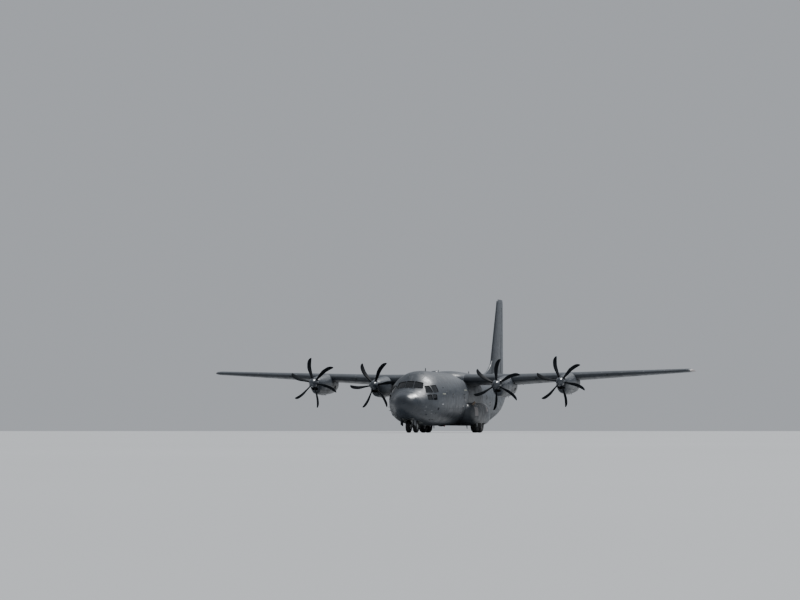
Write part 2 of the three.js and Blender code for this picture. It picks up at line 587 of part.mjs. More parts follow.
// The ramp is a box that is open along its hinge
const rampHollow = fuselageSolid(TAIL_WALL, JOINT.ramp - 0.1, 26).intersect(rampPrism(-TAIL_WALL, 0.05));
addNode('cargo_ramp', outside.intersect(rampPrism(0, 0)).subtract(rampHollow), 'grey');
// The door is a hollow shell, open towards the hold between its edge frames
const doorHollow = fuselageSolid(TAIL_WALL, 25.3, 29.5).intersect(prism('z', [
  [-CARGO_DOOR.frontHalf + 0.12, 25.3], [CARGO_DOOR.frontHalf - 0.12, 25.3],
  [CARGO_DOOR.backHalf - 0.12, 29.5], [-CARGO_DOOR.backHalf + 0.12, 29.5],
], -1, 6));
addNode('cargo_door', largest(outside.intersect(cargoPrism(0)).subtract(doorHollow)), 'grey');

// Floors
const floorRoom = fuselageSolid(WALL + SEAT, JOINT.hollowFront, JOINT.hollowEnd);
const cargoFloor = floorRoom
  .intersect(box([-HOLD_HALF_WIDTH, HOLD_HALF_WIDTH], [JOINT.deck + SEAT, JOINT.ramp],
    [CARGO_FLOOR - CARGO_FLOOR_DEPTH, CARGO_FLOOR]))
  .subtract(bothSides(wellBox(MAIN_WELL.liner + SEAT)));
addNode('cargo_floor', cargoFloor, 'floor');
const deckFloor = floorRoom.intersect(box([-3, 3], [1.7, JOINT.deck - 0.05], [DECK_FLOOR - DECK_FLOOR_DEPTH, DECK_FLOOR]));
addNode('flight_deck_floor', deckFloor, 'floor');

// Flight deck fittings that show through the glass
const deckRoom = fuselageSolid(WALL + 0.03, JOINT.hollowFront, JOINT.hollowEnd);
const onDeck = DECK_FLOOR + SEAT;
const panel = deckRoom.intersect(sidePrism([[1.7, onDeck], [2.25, onDeck], [2.4, 3.05], [2.3, 3.3], [1.7, 3.3]], -1.15, 1.15));
addNode('instrument_panel', largest(panel), 'dark');
const seat = join(
  box([0.5, 0.8], [3.0, 3.35], [onDeck, onDeck + 0.3]),
  box([0.38, 0.92], [2.88, 3.42], [onDeck + 0.28, onDeck + 0.42]),
  box([0.38, 0.92], [3.36, 3.5], [onDeck + 0.36, onDeck + 1.2]),
);
addNode('pilot_seat_port', seat, 'fabric');
addNode('pilot_seat_starboard', mirrored(seat), 'fabric');

// Fairing over the wing roots
// Columns: station, half width, top
const FAIRING = [
  [11.9, 0.9, 4.84], [12.9, 1.5, 4.98], [14.4, 1.75, 5.06], [17.2, 1.75, 5.02], [18.8, 1.5, 4.95], [20.2, 0.9, 4.84],
];
const fairingRing = ([station, half, top]) => {
  const ring = [];
  const steps = 10;
  for (let i = 0; i <= steps; i += 1) {
    const angle = (Math.PI * i) / steps;
    ring.push([half * Math.cos(angle), station, 4.28 + (top - 4.28) * Math.sin(angle) ** 0.7]);
  }
  return ring;
};
const fuselageUnderFairing = fuselageClearance.subtract(wingSeat(-SEAT));
const fairing = loft(FAIRING.map(fairingRing)).subtract(fuselageUnderFairing).subtract(wingClearance);
addNode('wing_root_fairing', largest(fairing), 'grey');

// Sponsons over the main wheels
// Columns: station, centre, half width, middle height, half height
const SPONSON = [
  [11.7, 1.85, 0.2, 1.7, 0.25], [12.2, 1.8, 0.64, 1.6, 0.74], [12.95, 1.75, 0.9, 1.55, 0.93],
  [13.7, 1.75, 0.98, 1.53, 0.95], [17.1, 1.75, 0.98, 1.53, 0.95], [18.2, 1.75, 0.86, 1.53, 0.9],
  [19.0, 1.78, 0.55, 1.5, 0.68], [19.45, 1.82, 0.25, 1.5, 0.35],
];
const sponsonRing = ([station, centre, half, middle, high]) => {
  const ring = [];
  const [points, power] = [20, 2.6];
  for (let i = 0; i < points; i += 1) {
    const angle = (2 * Math.PI * i) / points;
    const curve = (value) => Math.sign(value) * Math.abs(value) ** (2 / power);
    ring.push([centre + half * curve(Math.sin(angle)), station, middle + high * curve(Math.cos(angle))]);
  }
  return ring;
};
const sponsonWell = box([1.5, MAIN_WELL.outer], [MAIN_WELL.front, MAIN_WELL.back], [-1, MAIN_WELL.sponsonTop]);
const sponson = largest(loft(SPONSON.map(sponsonRing)).subtract(fuselageClearance).subtract(sponsonWell));
addNode('sponson_port', sponson, 'grey');
addNode('sponson_starboard', mirrored(sponson), 'grey');

// Engine nacelles and propellers
const nacelleRing = ([aft, half, top, bottom], x, z, station) => {
  const ring = [];
  const points = 20;
  for (let i = 0; i < points; i += 1) {
    const angle = (2 * Math.PI * i) / points;
    const [side, up] = [Math.sin(angle), Math.cos(angle)];
    ring.push([x + half * side, station + aft, z + (up >= 0 ? top : -bottom) * up]);
  }
  return ring;
};

// Blade sections. Columns: radius, chord, thickness, twist in degrees, sweep of the middle
const BLADE = [
  [0.3, 0.2, 0.14, 66, 0.0],
  [0.6, 0.27, 0.09, 60, -0.06],
  [1.2, 0.37, 0.055, 48, -0.12],
  [1.7, 0.36, 0.03, 42, -0.02],
  [1.95, 0.27, 0.02, 39, 0.1],
  [2.055, 0.12, 0.012, 38, 0.19],
];
function bladeRing([radius, chord, thickness, twist, sweep]) {
  const turn = (twist * Math.PI) / 180;
  const outline = [[-0.5, 0], [-0.25, 0.5], [0.15, 0.42], [0.5, 0], [0.15, -0.42], [-0.25, -0.5]];
  return outline.map(([u, v]) => {
    const [along, thick] = [u * chord + sweep, v * thickness];
    return [along * Math.cos(turn) - thick * Math.sin(turn), along * Math.sin(turn) + thick * Math.cos(turn), radius];
  });
}
const spinnerProfile = [
  [0, PROPELLER.spinnerFront], [0.16, -0.58], [0.29, -0.34], [PROPELLER.spinnerRadius, 0.05],
  [PROPELLER.spinnerRadius, PROPELLER.spinnerBack], [0, PROPELLER.spinnerBack],
];
const blade = loft(BLADE.map(bladeRing));
let propeller = turned(spinnerProfile, 'y', [0, 0, 0], 16);
for (let i = 0; i < PROPELLER.blades; i += 1) {
  propeller = propeller.add(blade.rotate([0, (360 / PROPELLER.blades) * i, 0]));
}
for (const [name, x, z, station, portTurn, starboardTurn] of ENGINES) {
  const whole = loft(NACELLE.map((row) => nacelleRing(row, x, z, station)));
  const intake = box([x - 0.28, x + 0.28], [station, station + 1.0], [z - 0.58, z - 0.4]);
  const exhaust = bar([x, station + 5.4, z - 0.14], [x, station + 6.5, z - 0.2], 0.22, 0.22, 16);
  const shaft = bar([x, station + 0.4, z], [x, station + PROPELLER.spinnerBack + SEAT, z], 0.12, 0.12, 12);
  const nacelle = largest(join(whole.subtract(intake).subtract(exhaust), shaft).subtract(wingClearance));
  addNode(`nacelle_${name}_port`, nacelle, 'grey');
  addNode(`nacelle_${name}_starboard`, mirrored(nacelle), 'grey');
  addNode(`propeller_${name}_port`, propeller.rotate([0, portTurn, 0]).translate([x, station, z]), 'dark');
  addNode(`propeller_${name}_starboard`, propeller.rotate([0, starboardTurn, 0]).translate([-x, station, z]), 'dark');
}

// Wheels
function tyreProfile({ radius, width, rim }) {
  const half = width / 2;
  return [
    [rim, -half * 0.72], [radius * 0.7, -half], [radius * 0.93, -half * 0.86], [radius, -half * 0.5],
    [radius, half * 0.5], [radius * 0.93, half * 0.86], [radius * 0.7, half], [rim, half * 0.72], [rim, -half * 0.72],
  ];
}
const TYRE_SIDES = 24;
// A bore of flat facets is widened so that its flats still clear a round axle
const BORE_EASE = 1 / Math.cos(Math.PI / TYRE_SIDES);
for (const [order, station] of [['front', MAIN_WHEEL.stations[0]], ['rear', MAIN_WHEEL.stations[1]]]) {
  const { x, radius, rim, width, axle } = MAIN_WHEEL;
  const tyre = turned(tyreProfile(MAIN_WHEEL), 'x', [x, station, radius], TYRE_SIDES);
  const half = width * 0.36;
  const bore = (axle + SEAT) * BORE_EASE;
  const hub = turned([
    [bore, -half], [rim - SEAT, -half], [rim - SEAT, half], [0.2, half], [bore, half * 0.6], [bore, -half],
  ], 'x', [x, station, radius], TYRE_SIDES);
  for (const [side, flip] of [['port', (s) => s], ['starboard', mirrored]]) {
    addNode(`main_tyre_${order}_${side}`, flip(tyre), 'tyre');
    addNode(`main_hub_${order}_${side}`, flip(hub), 'white');
  }
}
{
  const { x, station, radius, rim, width, axle } = NOSE_WHEEL;
  const tyre = turned(tyreProfile(NOSE_WHEEL), 'x', [x, station, radius], TYRE_SIDES);
  addNode('nose_tyre_port', tyre, 'tyre');
  addNode('nose_tyre_starboard', mirrored(tyre), 'tyre');
  const [inner, outer] = [x - width * 0.36, x + width * 0.36];
  const hubs = turned([
    [0, -outer], [rim - SEAT, -outer], [rim - SEAT, -inner], [axle, -inner],
    [axle, inner], [rim - SEAT, inner], [rim - SEAT, outer], [0, outer],
  ], 'x', [0, station, radius], TYRE_SIDES);
  addNode('nose_hubs', hubs, 'white');
}

// Main gear: two struts a side, joined by a beam, each with its axle
{
  const { x, radius, width, axle, stations } = MAIN_WHEEL;
  const strutX = 1.78;
  const roof = MAIN_WELL.top - SEAT;
  const parts = stations.flatMap((station) => [
    bar([strutX, station, radius - 0.12], [strutX, station, roof], 0.085),
    bar([strutX, station, 1.35], [strutX, station, roof], 0.11),
    bar([strutX, station, radius], [x + width * 0.3, station, radius], axle, axle, 16),
  ]);
  parts.push(box([strutX - 0.06, strutX + 0.06], [stations[0], stations[1]], [1.75, 1.95]));
  const legs = join(...parts);
  addNode('main_gear_port', legs, 'metal');
  addNode('main_gear_starboard', mirrored(legs), 'metal');
}

// Nose gear: fixed leg with its drag brace, and the part that steers
{
  const { station, radius, axle } = NOSE_WHEEL;
  const roof = NOSE_WELL.top - SEAT;
  const collar = 1.12;
  const leg = join(
    bar([0, station, collar], [0, station, roof], 0.1, 0.1, 16),
    bar([0, station, collar + 0.1], [0, NOSE_WELL.front + 0.3, roof - 0.06], 0.045, 0.045, 8),
  );
  addNode('nose_leg', leg, 'metal');
  const forkBore = (axle + SEAT) * BORE_EASE;
  const fork = join(
    bar([0, station, radius], [0, station, collar - SEAT], 0.07, 0.07, 16),
    bar([0, station, collar - 0.1], [0, station, collar - SEAT], 0.1, 0.1, 16),
    bar([-0.09, station, radius], [0.09, station, radius], 0.1, 0.1, 16),
  ).subtract(bar([-0.3, station, radius], [0.3, station, radius], forkBore, forkBore, TYRE_SIDES));
  addNode('nose_steering_leg', fork, 'metal');
}

// Nose gear doors, open beside the front of the well
{
  const { frontHalf, front, step } = NOSE_WELL;
  const insideSkin = 1.25;
  const outline = [[front + 0.03, insideSkin], [step - 0.02, insideSkin], [step - 0.02, 0.5], [front + 0.1, 0.62]];
  const door = sidePrism(outline, frontHalf + 0.01, frontHalf + 0.04);
  addNode('nose_gear_door_port', largest(door.subtract(fuselageClearance)), 'grey');
  addNode('nose_gear_door_starboard', largest(mirrored(door).subtract(fuselageClearance)), 'grey');
}

aircraft.scale.setScalar(MM_PER_METRE * MODEL_SCALE);
aircraft.position.y = (-LENGTH / 2) * MM_PER_METRE * MODEL_SCALE;

export default aircraft;
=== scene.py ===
# %% [markdown]
# A four-engined military transport plane, built at half size.
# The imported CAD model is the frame: its bodies move, and its faceted nodes give each place.
# Every node is replaced here by smooth skins, drawn from the same measures as the CAD.
# Each piece is shaped in metres of the real aircraft and shrunk when it is finished.

# %% The frame
import math

import bmesh
import bpy
from mathutils import Matrix, Vector


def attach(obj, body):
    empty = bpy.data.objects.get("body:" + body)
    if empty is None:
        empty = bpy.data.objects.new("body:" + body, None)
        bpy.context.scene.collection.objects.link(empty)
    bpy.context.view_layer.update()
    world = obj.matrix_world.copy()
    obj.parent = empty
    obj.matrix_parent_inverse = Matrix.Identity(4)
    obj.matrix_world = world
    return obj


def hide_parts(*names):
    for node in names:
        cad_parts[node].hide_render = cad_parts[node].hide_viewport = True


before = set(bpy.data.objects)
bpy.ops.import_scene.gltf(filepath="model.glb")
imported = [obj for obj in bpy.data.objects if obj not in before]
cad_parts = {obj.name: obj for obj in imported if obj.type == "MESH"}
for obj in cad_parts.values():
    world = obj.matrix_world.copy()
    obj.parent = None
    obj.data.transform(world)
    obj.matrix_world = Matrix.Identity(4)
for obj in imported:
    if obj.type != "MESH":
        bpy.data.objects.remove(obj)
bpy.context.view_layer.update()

# %% [markdown]
# Stations count aft from the nose tip, as on a real airframe drawing.
# x runs to port and z up from the ground, so the model's centre lies half a length aft.
# The fuselage sections meet at four joints. The last three are limits for blocks that reach
# past the hull, or past the whole aircraft.

# %% Measures
MODEL_SCALE = 0.5
LENGTH = 34.37
HALF_SPAN = 20.205
HEIGHT = 11.81
SKIN = 0.14
RADOME_JOINT = 1.25
NOSE_JOINT = 4.75
WING_JOINT = 12.3
TAIL_JOINT = 21.8
ACROSS_HULL = (-3, 3)
ALL_ALONG = (0, 40)
ALL_UP = (-1, 20)
TO_MODEL = Matrix.Scale(MODEL_SCALE, 4) @ Matrix.Translation((0, -LENGTH / 2, 0))
print("model spans", round(2 * HALF_SPAN * MODEL_SCALE, 3), "m")

# %% [markdown]
# A skin over ribs is a loft: one closed loop for each rib, and a band of faces between.
# Extruding the loop's edges and moving the new points to the next rib keeps them in step,
# which bridging two separate loops can't promise on a thin wing.

# %% Lofts from rib to rib
def start_loop(shape, points):
    loop = bmesh.ops.create_circle(shape, segments=len(points), radius=1.0)["verts"]
    for vert, point in zip(loop, points):
        vert.co = point
    return loop


def next_loop(shape, loop, points):
    edges = [shape.edges.get((loop[i - 1], loop[i])) for i in range(len(loop))]
    made = bmesh.ops.extrude_edge_only(shape, edges=edges)["geom"]
    fresh = {item for item in made if isinstance(item, bmesh.types.BMVert)}
    following = []
    for vert in loop:
        ahead = [edge.other_vert(vert) for edge in vert.link_edges]
        following.append(next(other for other in ahead if other in fresh))
    for vert, point in zip(following, points):
        vert.co = point
    return following


def loft(ribs):
    shape = bmesh.new()
    loop = start_loop(shape, ribs[0])
    for points in ribs[1:]:
        loop = next_loop(shape, loop, points)
    bmesh.ops.holes_fill(shape, edges=shape.edges, sides=0)
    bmesh.ops.recalc_face_normals(shape, faces=shape.faces)
    return shape


def spread(first, last, count):
    """Places from first to last in count equal steps."""
    return [first + (last - first) * i / count for i in range(count + 1)]


def stations(first, last, pitch):
    return spread(first, last, round((last - first) / pitch))


def turns(count):
    """The angles of count points round a circle."""
    return [math.tau * i / count for i in range(count)]


print("four bays of frames", spread(0, 2.4, 4))

# %% [markdown]
# Openings, wheel wells and panes are cut as a workshop would: a plain block or rod is
# pushed through the skin. A block is an outline, filled and extruded.

# %% Blocks, rods and turned shapes
AXES = {
    "x": lambda place, u, v: (place, u, v),
    "y": lambda place, u, v: (u, place, v),
    "z": lambda place, u, v: (u, v, place),
}


def block(axis, outline, start, end):
    shape = bmesh.new()
    point = AXES[axis]
    loop = start_loop(shape, [point(start, u, v) for u, v in outline])
    face = bmesh.ops.contextual_create(shape, geom=loop)["faces"]
    pushed = bmesh.ops.extrude_face_region(shape, geom=face)["geom"]
    moved = [item for item in pushed if isinstance(item, bmesh.types.BMVert)]
    bmesh.ops.translate(shape, verts=moved, vec=Vector(point(end - start, 0, 0)))
    bmesh.ops.recalc_face_normals(shape, faces=shape.faces)
    return shape


def slab(xs, ys, zs):
    corners = [(xs[0], ys[0]), (xs[1], ys[0]), (xs[1], ys[1]), (xs[0], ys[1])]
    return block("z", corners, zs[0], zs[1])


def rod(start, end, radius, end_radius=None, segments=32):
    shape = bmesh.new()
    start, along = Vector(start), Vector(end) - Vector(start)
    turn = along.to_track_quat("Z", "Y").to_matrix().to_4x4()
    bmesh.ops.create_cone(
        shape, cap_ends=True, segments=segments, radius1=radius,
        radius2=radius if end_radius is None else end_radius, depth=along.length,
        matrix=Matrix.Translation(start + along / 2) @ turn)
    return shape


def turned(profile, axis, centre, segments=64):
    """A turned shape: profile points are (radius, place along the axis)."""
    shape = bmesh.new()
    around = {"x": Vector((1, 0, 0)), "y": Vector((0, 1, 0)), "z": Vector((0, 0, 1))}[axis]
    outward = Vector((0, 0, 1)) if axis != "z" else Vector((1, 0, 0))
    centre = Vector(centre)
    verts = [shape.verts.new(centre + outward * r + around * a) for r, a in profile]
    edges = [shape.edges.new(pair) for pair in zip(verts, verts[1:])]
    bmesh.ops.spin(shape, geom=verts + edges, cent=centre, axis=around,
                   angle=math.tau, steps=segments, use_merge=True)
    bmesh.ops.remove_doubles(shape, verts=shape.verts, dist=1e-5)
    bmesh.ops.recalc_face_normals(shape, faces=shape.faces)
    return shape


# %% [markdown]
# Three more moves cover the rest: a boolean of two shapes, a mirror image, and a
# heap of shapes that ride together as one piece.

# %% Cutting, mirroring and heaping
def combine(shape, tool, how):
    """shape after a boolean with tool: DIFFERENCE, INTERSECT or UNION. The tool is kept."""
    pair = []
    for part in (shape, tool):
        mesh = bpy.data.meshes.new("blank")
        part.to_mesh(mesh)
        blank = bpy.data.objects.new("blank", mesh)
        bpy.context.scene.collection.objects.link(blank)
        pair.append(blank)
    modifier = pair[0].modifiers.new("boolean", "BOOLEAN")
    modifier.operation = how
    modifier.solver = "EXACT"
    modifier.object = pair[1]
    result = bmesh.new()
    result.from_object(pair[0], bpy.context.evaluated_depsgraph_get())
    for blank in pair:
        mesh = blank.data
        bpy.data.objects.remove(blank)
        bpy.data.meshes.remove(mesh)
    return result


def cut(shape, *tools):
    for tool in tools:
        shape = combine(shape, tool, "DIFFERENCE")
    return shape


def mirrored(shape):
    copy = shape.copy()
    bmesh.ops.transform(copy, matrix=Matrix.Scale(-1, 4, (1, 0, 0)), verts=copy.verts)
    bmesh.ops.reverse_faces(copy, faces=copy.faces)
    return copy


def heap(*shapes):
    whole = bmesh.new()
    for shape in shapes:
        mesh = bpy.data.meshes.new("heap")
        shape.to_mesh(mesh)
        whole.from_mesh(mesh)
        bpy.data.meshes.remove(mesh)
    return whole


def both_sides(shape):
    return heap(shape, mirrored(shape))


SIDES = {"port": lambda shape: shape.copy(), "starboard": mirrored}
print("sides", *SIDES)


# %% [markdown]
# A finished piece is shrunk to the model's size, shaded smooth except at real edges,
# given its finish, and put on the CAD body that carries it. Many come once a side.

# %% Finishing a piece
piece_faces = {}


def finish(shape, name, body, material, nodes=(), crease=32):
    bmesh.ops.remove_doubles(shape, verts=shape.verts, dist=1e-5)
    bmesh.ops.transform(shape, matrix=TO_MODEL, verts=shape.verts)
    mesh = bpy.data.meshes.new(name)
    shape.to_mesh(mesh)
    shape.free()
    mesh.shade_smooth()
    mesh.set_sharp_from_angle(angle=math.radians(crease))
    mesh.materials.clear()
    mesh.materials.append(material)
    piece = bpy.data.objects.new(name, mesh)
    bpy.context.scene.collection.objects.link(piece)
    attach(piece, body)
    if nodes:
        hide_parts(*nodes)
    piece_faces[name] = len(mesh.polygons)
    print(name, piece_faces[name], "faces")
    return piece


def finish_pair(shape, name, body, material, node=""):
    """One piece for each side. A star in a name stands for the side."""
    for side, turn in SIDES.items():
        nodes = [node.replace("*", side)] if node else []
        finish(turn(shape), name.replace("*", side), body.replace("*", side), material, nodes)


# %% [markdown]
# Every finish is a small network of nodes on Object coordinates, in metres of the model,
# so a panel line keeps its place whatever the piece is cut from.
# These helpers add one node each and link what they are given.

# %% Node helpers
def start_material(name):
    material = bpy.data.materials.new(name)
    material.use_nodes = True
    tree = material.node_tree
    return material, tree, tree.nodes["Principled BSDF"]


def feed(tree, socket, value):
    if isinstance(value, bpy.types.NodeSocket):
        tree.links.new(value, socket)
    else:
        socket.default_value = value


def calculate(tree, operation, first, second):
    node = tree.nodes.new("ShaderNodeMath")
    node.operation = operation
    for socket, value in zip(node.inputs, (first, second)):
        feed(tree, socket, value)
    return node.outputs[0]


def times(tree, first, second):
    return calculate(tree, "MULTIPLY", first, second)


def toned(tree, colour, tone):
    """The colour, made lighter or darker by a tone, which is a number or another colour."""
    if tone.type == "VALUE":
        shade = tree.nodes.new("ShaderNodeCombineColor")
        for socket in shade.inputs:
            feed(tree, socket, tone)
        tone = shade.outputs[0]
    node = tree.nodes.new("ShaderNodeMix")
    node.data_type = "RGBA"
    node.blend_type = "MULTIPLY"
    for place, value in ((0, 1.0), (6, colour), (7, tone)):
        feed(tree, node.inputs[place], value)
    return node.outputs[2]


def remap(tree, value, low, high, to_low=0.0, to_high=1.0):
    node = tree.nodes.new("ShaderNodeMapRange")
    node.interpolation_type = "SMOOTHSTEP"
    for socket, number in zip(node.inputs, (value, low, high, to_low, to_high)):
        feed(tree, socket, number)
    return node.outputs[0]


def object_axes(tree):
    coords = tree.nodes.new("ShaderNodeTexCoord").outputs["Object"]
    parts = tree.nodes.new("ShaderNodeSeparateXYZ")
    tree.links.new(coords, parts.inputs[0])
    return coords, parts.outputs[0], parts.outputs[1], parts.outputs[2]


def noise(tree, coords, scale, detail=4.0, stretch=(1, 1, 1)):
    mapping = tree.nodes.new("ShaderNodeMapping")
    mapping.inputs["Scale"].default_value = stretch
    tree.links.new(coords, mapping.inputs[0])
    node = tree.nodes.new("ShaderNodeTexNoise")
    node.inputs["Scale"].default_value = scale
    node.inputs["Detail"].default_value = detail
    tree.links.new(mapping.outputs[0], node.inputs[0])
    return node.outputs[0]


def grey(value):
    return (value, value, value, 1.0)


def bump(tree, shader, height, distance, strength=1.0):
    node = tree.nodes.new("ShaderNodeBump")
    node.inputs["Distance"].default_value = distance
    node.inputs["Strength"].default_value = strength
    tree.links.new(height, node.inputs["Height"])
    tree.links.new(node.outputs[0], shader.inputs["Normal"])


# %% [markdown]
# The airframe paint: satin blue-grey on riveted sheets. Bricks make the sheets, whose seams
# are a little darker and sunk. Noise fades the paint, and stretched noise makes the
# streaks that the airflow draws. On the fuselage the bricks are wrapped round its axis, and
# the lower skin is darker in oily streaks: partly real grime, partly painted shade under the belly.

# %% Airframe paint
FUSELAGE_AXIS = 1.37
FUSELAGE_RADIUS = 1.07
SEAM = 0.005


def sheet_plan(tree, layout, x, y, z):
    """Two coordinates in metres on the skin: along the sheets, and across them."""
    flat = tree.nodes.new("ShaderNodeCombineXYZ")
    if layout == "round":
        angle = calculate(tree, "ARCTAN2", x, calculate(tree, "SUBTRACT", z, FUSELAGE_AXIS))
        pair = (y, times(tree, angle, FUSELAGE_RADIUS))
    else:
        pair = {"plan": (x, y), "side": (y, z)}[layout]
    feed(tree, flat.inputs[0], pair[0])
    feed(tree, flat.inputs[1], pair[1])
    return flat.outputs[0]


# Darkens a tone where a mask is strong: real soot on the nacelles, and on the fuselage oily grime
# mixed with painted belly shade.
def dirt_and_shade_darkened(tree, tone, amount, patches):
    dirt_and_shade = times(tree, amount, patches)
    return times(tree, tone, calculate(tree, "SUBTRACT", 1.0, dirt_and_shade))


def airframe_paint(name, base, layout, sheet, roughness=0.42, belly=0.0, soot=None):
    material, tree, shader = start_material(name)
    coords, x, y, z = object_axes(tree)
    brick = tree.nodes.new("ShaderNodeTexBrick")
    brick.offset = 0.5
    brick.inputs["Color1"].default_value = grey(0.93)
    brick.inputs["Color2"].default_value = grey(1.05)
    brick.inputs["Mortar"].default_value = grey(0.62)
    brick.inputs["Scale"].default_value = 1.0
    brick.inputs["Mortar Size"].default_value = SEAM
    brick.inputs["Mortar Smooth"].default_value = 0.3
    brick.inputs["Brick Width"].default_value = sheet[0]
    brick.inputs["Row Height"].default_value = sheet[1]
    tree.links.new(sheet_plan(tree, layout, x, y, z), brick.inputs["Vector"])
    fade = remap(tree, noise(tree, coords, 0.8), 0.3, 0.7, 0.88, 1.1)
    streak = remap(tree, noise(tree, coords, 7.0, 3.0, (1, 0.08, 1)), 0.35, 0.7, 1.04, 0.9)
    speck = remap(tree, noise(tree, coords, 26.0, 6.0), 0.55, 0.78, 1.0, 0.86)
    tone = times(tree, times(tree, fade, streak), speck)
    # Painted shade: darker towards the bottom of the fuselage, broken into oily streaks of real
    # grime.
    if belly:
        low = remap(tree, z, 1.1, 0.35, 0.0, belly)
        belly_oil_and_shade_streaks = remap(tree, noise(tree, coords, 4.0, 4.0, (1, 0.12, 1)), 0.4, 0.65)
        tone = dirt_and_shade_darkened(tree, tone, low, belly_oil_and_shade_streaks)
    if soot:
        start, end, strength = soot
        trail = remap(tree, y, start, end, 0.0, strength)
        wisps = remap(tree, noise(tree, coords, 3.0, 5.0, (1.4, 0.2, 1.4)), 0.3, 0.65)
        tone = dirt_and_shade_darkened(tree, tone, trail, wisps)
    sheets = toned(tree, (*base, 1.0), brick.outputs["Color"])
    tree.links.new(toned(tree, sheets, tone), shader.inputs["Base Color"])
    gloss = remap(tree, noise(tree, coords, 5.0), 0.3, 0.7, roughness - 0.07, roughness + 0.1)
    tree.links.new(gloss, shader.inputs["Roughness"])
    seam = calculate(tree, "SUBTRACT", 1.0, brick.outputs["Fac"])
    waves = times(tree, noise(tree, coords, 2.2, 1.0), 0.5)
    bump(tree, shader, calculate(tree, "ADD", seam, waves), 0.004, 0.6)
    return material


# PAINT is darker than the real grey of the aircraft: part of its darkness is painted shade, for a
# skin seen against the light.
PAINT = (0.042, 0.050, 0.061)
fuselage_paint = airframe_paint("fuselage_paint", PAINT, "round", (1.22, 0.52), belly=0.35)
wing_paint = airframe_paint("wing_paint", PAINT, "plan", (0.86, 0.47))
fin_paint = airframe_paint("fin_paint", PAINT, "side", (0.62, 0.54))
nacelle_paint = airframe_paint("nacelle_paint", PAINT, "side", (0.7, 0.33), 0.38,
                               soot=(-1.1, -0.1, 0.55))
radome_paint = airframe_paint("radome_paint", (0.030, 0.037, 0.047), "round", (4.0, 4.0), 0.32)


# %% [markdown]
# The other finishes are simpler: one colour, broken up by noise in tone, gloss and relief.
# One helper makes them all, so each is a short row of numbers.

# %% Plain finishes
def plain_finish(name, base, roughness, metallic=0.0, scale=20.0, variation=0.12,
                 relief=0.0005, coat=0.0, specular=0.5):
    material, tree, shader = start_material(name)
    coords = object_axes(tree)[0]
    grain = noise(tree, coords, scale, 5.0)
    tone = remap(tree, grain, 0.3, 0.7, 1.0 - variation, 1.0 + variation)
    tree.links.new(toned(tree, (*base, 1.0), tone), shader.inputs["Base Color"])
    patches = noise(tree, coords, scale * 0.4)
    gloss = remap(tree, patches, 0.3, 0.7, roughness - 0.06, roughness + 0.08)
    tree.links.new(gloss, shader.inputs["Roughness"])
    shader.inputs["Metallic"].default_value = metallic
    shader.inputs["Coat Weight"].default_value = coat
    shader.inputs["Specular IOR Level"].default_value = specular
    bump(tree, shader, grain, relief, 0.7)
    return material


blade_finish = plain_finish("blade_finish", (0.007, 0.009, 0.012), 0.55, scale=9.0, variation=0.25,
                            specular=0.06)
boot_finish = plain_finish("boot_finish", (0.022, 0.024, 0.027), 0.5, scale=14.0, specular=0.06)
# The spinner is kept as dark as PAINT, and part of that darkness is painted shade in the same way.
spinner_finish = plain_finish("spinner_finish", (0.045, 0.053, 0.065), 0.26, scale=8.0, coat=0.3)
tyre_finish = plain_finish("tyre_finish", (0.020, 0.020, 0.021), 0.78, scale=30.0, variation=0.3)
hub_finish = plain_finish("hub_finish", (0.46, 0.47, 0.47), 0.38, scale=16.0)
gear_finish = plain_finish("gear_finish", (0.50, 0.51, 0.51), 0.36, scale=18.0, coat=0.2)
steel_finish = plain_finish("steel_finish", (0.55, 0.56, 0.58), 0.18, 1.0, scale=12.0)
burnt_finish = plain_finish("burnt_finish", (0.20, 0.16, 0.13), 0.42, 0.9, scale=6.0, variation=0.4)
floor_finish = plain_finish("floor_finish", (0.26, 0.27, 0.27), 0.45, 0.6, scale=11.0, relief=0.001)
liner_finish = plain_finish("liner_finish", (0.36, 0.38, 0.37), 0.6, scale=7.0)
panel_finish = plain_finish("panel_finish", (0.018, 0.019, 0.021), 0.55, scale=40.0)
aerial_finish = plain_finish("aerial_finish", (0.035, 0.038, 0.042), 0.45, scale=20.0)
# Near black: painted shade in the intakes, soot and shade on the exhaust cones.
shade_and_soot_black = plain_finish("shade_and_soot_black", (0.010, 0.010, 0.011), 0.7, scale=10.0)


# %% [markdown]
# Glass over a dark cabin reads as near black with sharp reflections. It still lets some
# light through, so the seats and panel show close up. Lamp lenses are coloured glass.

# %% Glass and lamps
def clear_finish(name, base, transmission, roughness=0.03):
    material, tree, shader = start_material(name)
    coords = object_axes(tree)[0]
    shader.inputs["Base Color"].default_value = (*base, 1.0)
    shader.inputs["Transmission Weight"].default_value = transmission
    shader.inputs["IOR"].default_value = 1.45
    smear = remap(tree, noise(tree, coords, 3.0), 0.4, 0.7, roughness, roughness + 0.05)
    tree.links.new(smear, shader.inputs["Roughness"])
    return material


window_finish = clear_finish("window_finish", (0.035, 0.042, 0.050), 0.75)
# Porthole glass lets no light through. On the windows of the hold and doors, its near black is
# painted shade of the cabin behind.
porthole_finish = clear_finish("porthole_finish", (0.012, 0.015, 0.018), 0.0, 0.05)
lamp_finish = clear_finish("lamp_finish", (0.85, 0.85, 0.80), 0.3, 0.08)
red_lamp = clear_finish("red_lamp", (0.55, 0.02, 0.02), 0.2, 0.08)
green_lamp = clear_finish("green_lamp", (0.02, 0.40, 0.10), 0.2, 0.08)
print(len(bpy.data.materials), "finishes")


# %% [markdown]
# The fuselage is drawn from twenty frames: height of crown and keel, the widest line, half
# the width there, and how square the lower half is. Between the frames a cubic runs that
# never overshoots, so the long hold stays straight and the nose and tail stay fair.

